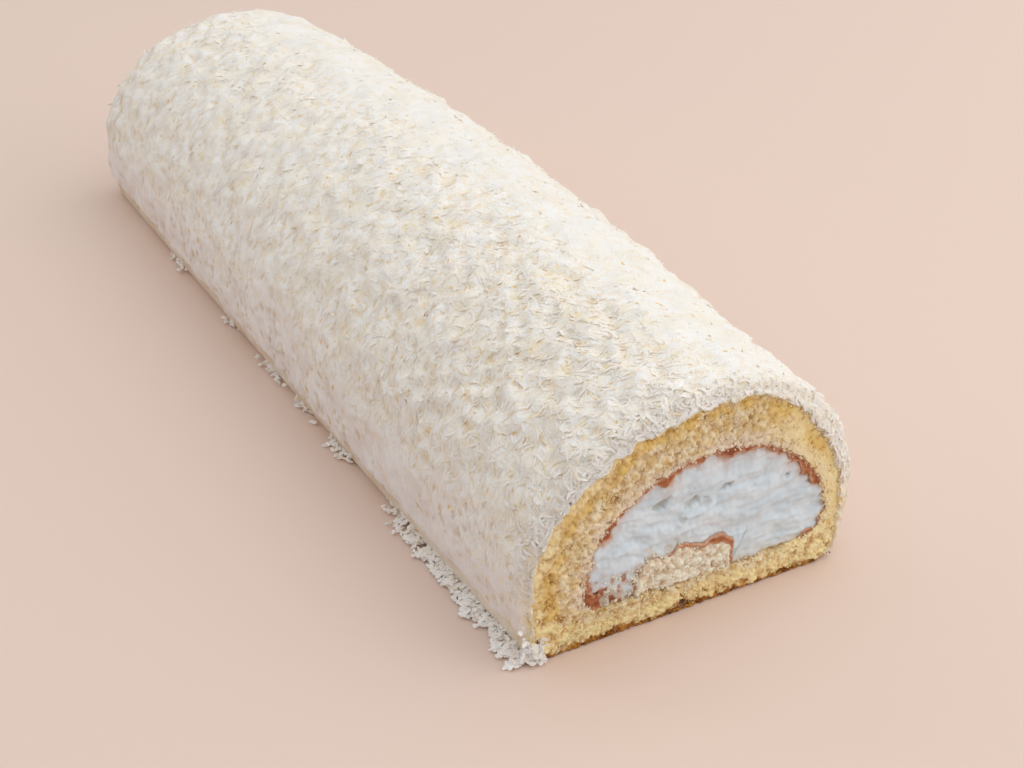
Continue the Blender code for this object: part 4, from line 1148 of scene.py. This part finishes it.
def spongeCakeMaterial(name, pale, darker, patch):
    # whisked egg sponge, baked in a sheet: matt open crumb, pale on the lumps, tan painted shade down in the
    # pores, with yolk-yellow patches, a stain beside the jam, a thin brown crust underneath, and golden crumb
    # partly painted light
    material, tree, shader, place = newMaterial(name)
    mottle = addNode(tree, "ShaderNodeTexNoise", {"Vector": place, "Scale": featureScale(3.0), "Detail": 4.0})
    body, crust = [addNode(tree, "ShaderNodeValToRGB", {0: mottle.outputs[0]}, stops=stops).outputs[0]
                   for stops in ([(0.36, darker), (0.6, pale)], [(0.4, "#8F5420"), (0.62, "#D09343")])]
    # on the cut, deep is tan painted shade in the crumb's hollows; on loose crumbs it is a random darker tone
    low = addNode(tree, "ShaderNodeAttribute", attribute_name="deep").outputs["Fac"]
    deep = addNode(tree, "ShaderNodeMapRange", {0: low, 1: 0.3, 2: 0.9, 3: 0.0, 4: 0.85})
    body = overlaid(tree, body, ("golden", "#FFEBB4"), ("ochre", patch), ("stain", "#F2E2CA"),
                    (deep.outputs[0], "#BC8A4C"), ("crust", crust))
    # the smallest pores are a quarter of a millimetre: drawn at 0.7 mm, so that they show
    fine = addNode(tree, "ShaderNodeTexNoise", {"Vector": place, "Scale": featureScale(0.7), "Detail": 3.0})
    finish(tree, shader, body, fine, 0.3, 0.6, {
        "Roughness": 0.85, "IOR": 1.4, "Specular IOR Level": 0.2, "Subsurface Weight": 0.25,
        "Subsurface Radius": (1.0, 0.75, 0.4), "Subsurface Scale": 1.5 * mm})
    return material


def berryJamMaterial():
    # boiled fruit jam, spread thin and half soaked in: brick red, glossy, darker where it is thick
    material, tree, shader, place = newMaterial("berryJam")
    pulp = addNode(tree, "ShaderNodeTexNoise", {"Vector": place, "Scale": featureScale(1.6), "Detail": 3.0})
    thin, thick = [addNode(tree, "ShaderNodeValToRGB", {0: pulp.outputs[0]},
                           stops=[(0.35, darker), (0.65, lighter)]).outputs[0]
                   for darker, lighter in (("#C6865F", "#DCB292"), ("#914A25", "#B97044"))]
    finish(tree, shader, overlaid(tree, thin, ("thick", thick)), pulp, 0.3, 0.6, {
        "Roughness": 0.32, "IOR": 1.42, "Specular IOR Level": 0.5, "Subsurface Weight": 0.2,
        "Subsurface Radius": (1.0, 0.35, 0.2), "Subsurface Scale": 1.0 * mm})
    return material


def whippedCreamMaterial():
    # stabilised whipped cream, dragged by the knife: satin white painted with cool blue shade, and grey
    # painted shade in its air holes
    material, tree, shader, place = newMaterial("whippedCream")
    cloud = addNode(tree, "ShaderNodeTexNoise", {"Vector": place, "Scale": featureScale(5.0), "Detail": 4.0})
    # the blue of the cream is painted cool shade of the cut face
    coolShaded = addNode(tree, "ShaderNodeValToRGB", {0: cloud.outputs[0]},
                    stops=[(0.35, "#D6E3EB"), (0.65, "#E6F1F8")])
    body = overlaid(tree, coolShaded.outputs[0], ("soiled", "#D3C8B6"), ("stain", "#D3B9AA"), ("deep", "#CDC6B9"),
                    ("jammy", "#B87A62"))
    # its bubbles are too fine to see: drawn at 1.2 mm, as the faint roughness they leave
    fine = addNode(tree, "ShaderNodeTexNoise", {"Vector": place, "Scale": featureScale(1.2), "Detail": 2.0})
    finish(tree, shader, body, fine, 0.15, 0.4, {
        "Roughness": 0.5, "IOR": 1.4, "Specular IOR Level": 0.35, "Subsurface Weight": 0.3,
        "Subsurface Radius": (1.0, 0.95, 0.9), "Subsurface Scale": 1.5 * mm})
    return material


view = dict(azimuth=-29.145, elevation=30.841, lens=61.2, aim=(-43.1, -150.1, 71.0), distance=441.5)
studio = dict(
    floor="#E4CDBE", floorRoughness=0.6, floorSpecular=0.2, floorHalf=4.0,
    sky="#EEF0F4", horizon=0.2, zenith=1.22,
    # soft round lamps that all aim at the cake: place, size, power and colour
    lamps=dict(key=((0.9, -0.2, 0.95), 1.6, 5.7, "#FFFBF5"), fill=((0.7, -1.0, 0.5), 0.9, 2.2, "#FFF6EC"),
               grazing=((-0.75, 0.85, 0.6), 0.3, 0.8, "#FFFBF5")),
    bounces=10,  # white on white passes light on many times
)


def makeStage():
    half = studio["floorHalf"]
    mesh = bpy.data.meshes.new("floor")
    corners = [(-half, -half, 0), (half, -half, 0), (half, half, 0), (-half, half, 0)]
    mesh.from_pydata(corners, [], [(0, 1, 2, 3)])
    floor = bpy.data.objects.new("floor", mesh)
    bpy.context.scene.collection.objects.link(floor)
    material, _, shader, _ = newMaterial("paleFloor")
    shader.inputs["Base Color"].default_value = toLinear(studio["floor"])
    shader.inputs["Roughness"].default_value = studio["floorRoughness"]
    shader.inputs["Specular IOR Level"].default_value = studio["floorSpecular"]
    mesh.materials.append(material)
    world = bpy.data.worlds.new("studio")
    bpy.context.scene.world = world
    world.use_nodes = True
    tree = world.node_tree
    towards = addNode(tree, "ShaderNodeTexCoord").outputs["Generated"]
    upness = addNode(tree, "ShaderNodeSeparateXYZ", {0: towards})
    dome = addNode(tree, "ShaderNodeMapRange", {0: upness.outputs["Z"], 1: 0.0, 2: 1.0, 3: studio["horizon"],
                                                4: studio["zenith"]})
    background = tree.nodes["Background"]
    background.inputs["Color"].default_value = toLinear(studio["sky"])
    tree.links.new(dome.outputs[0], background.inputs["Strength"])
    for name, (spot, size, power, colour) in studio["lamps"].items():
        lamp = bpy.data.lights.new(name, "AREA")
        lamp.shape, lamp.size, lamp.energy = "DISK", size, power
        lamp.color = toLinear(colour)[:3]
        light = bpy.data.objects.new(name, lamp)
        light.location = spot
        light.rotation_euler = (-Vector(spot)).to_track_quat("-Z", "Y").to_euler()
        bpy.context.scene.collection.objects.link(light)
    bpy.context.scene.view_settings.view_transform = "Standard"
    bpy.context.scene.cycles.diffuse_bounces = studio["bounces"]


def makeCamera():
    azimuth, elevation = math.radians(view["azimuth"]), math.radians(view["elevation"])
    level = math.cos(elevation)
    back = Vector((math.sin(azimuth) * level, -math.cos(azimuth) * level, math.sin(elevation)))
    data = bpy.data.cameras.new("camera")
    data.lens, data.sensor_width, data.clip_start = view["lens"], 36.0, 0.01
    camera = bpy.data.objects.new("camera", data)
    camera.location = (Vector(view["aim"]) + back * view["distance"]) * mm
    camera.rotation_euler = (-back).to_track_quat("-Z", "Y").to_euler()
    bpy.context.scene.collection.objects.link(camera)
    bpy.context.scene.camera = camera


print("stage and camera")
makeStage()
makeCamera()

print("icing and coconut")
icingMaterial, coconutMaterial = whippedIcingMaterial(), shreddedCoconutMaterial()
coat = Coat(*makeIcing(icingMaterial))
for kindName, kind in shredKinds.items():
    makeShreds(kindName, kind, coat, coconutMaterial)
makeHeaps(coconutMaterial)

print("sponge, jam and cream")
spongeMaterial = spongeCakeMaterial("spongeCake", "#F9EBCB", "#DFC184", "#EAC672")
makeSponge(spongeMaterial)
makeCrumbs(spongeMaterial)
makeFilling(berryJamMaterial(), whippedCreamMaterial(),
            spongeCakeMaterial("soakedSponge", "#FCF8E8", "#F0E6CA", "#DFC68C"))
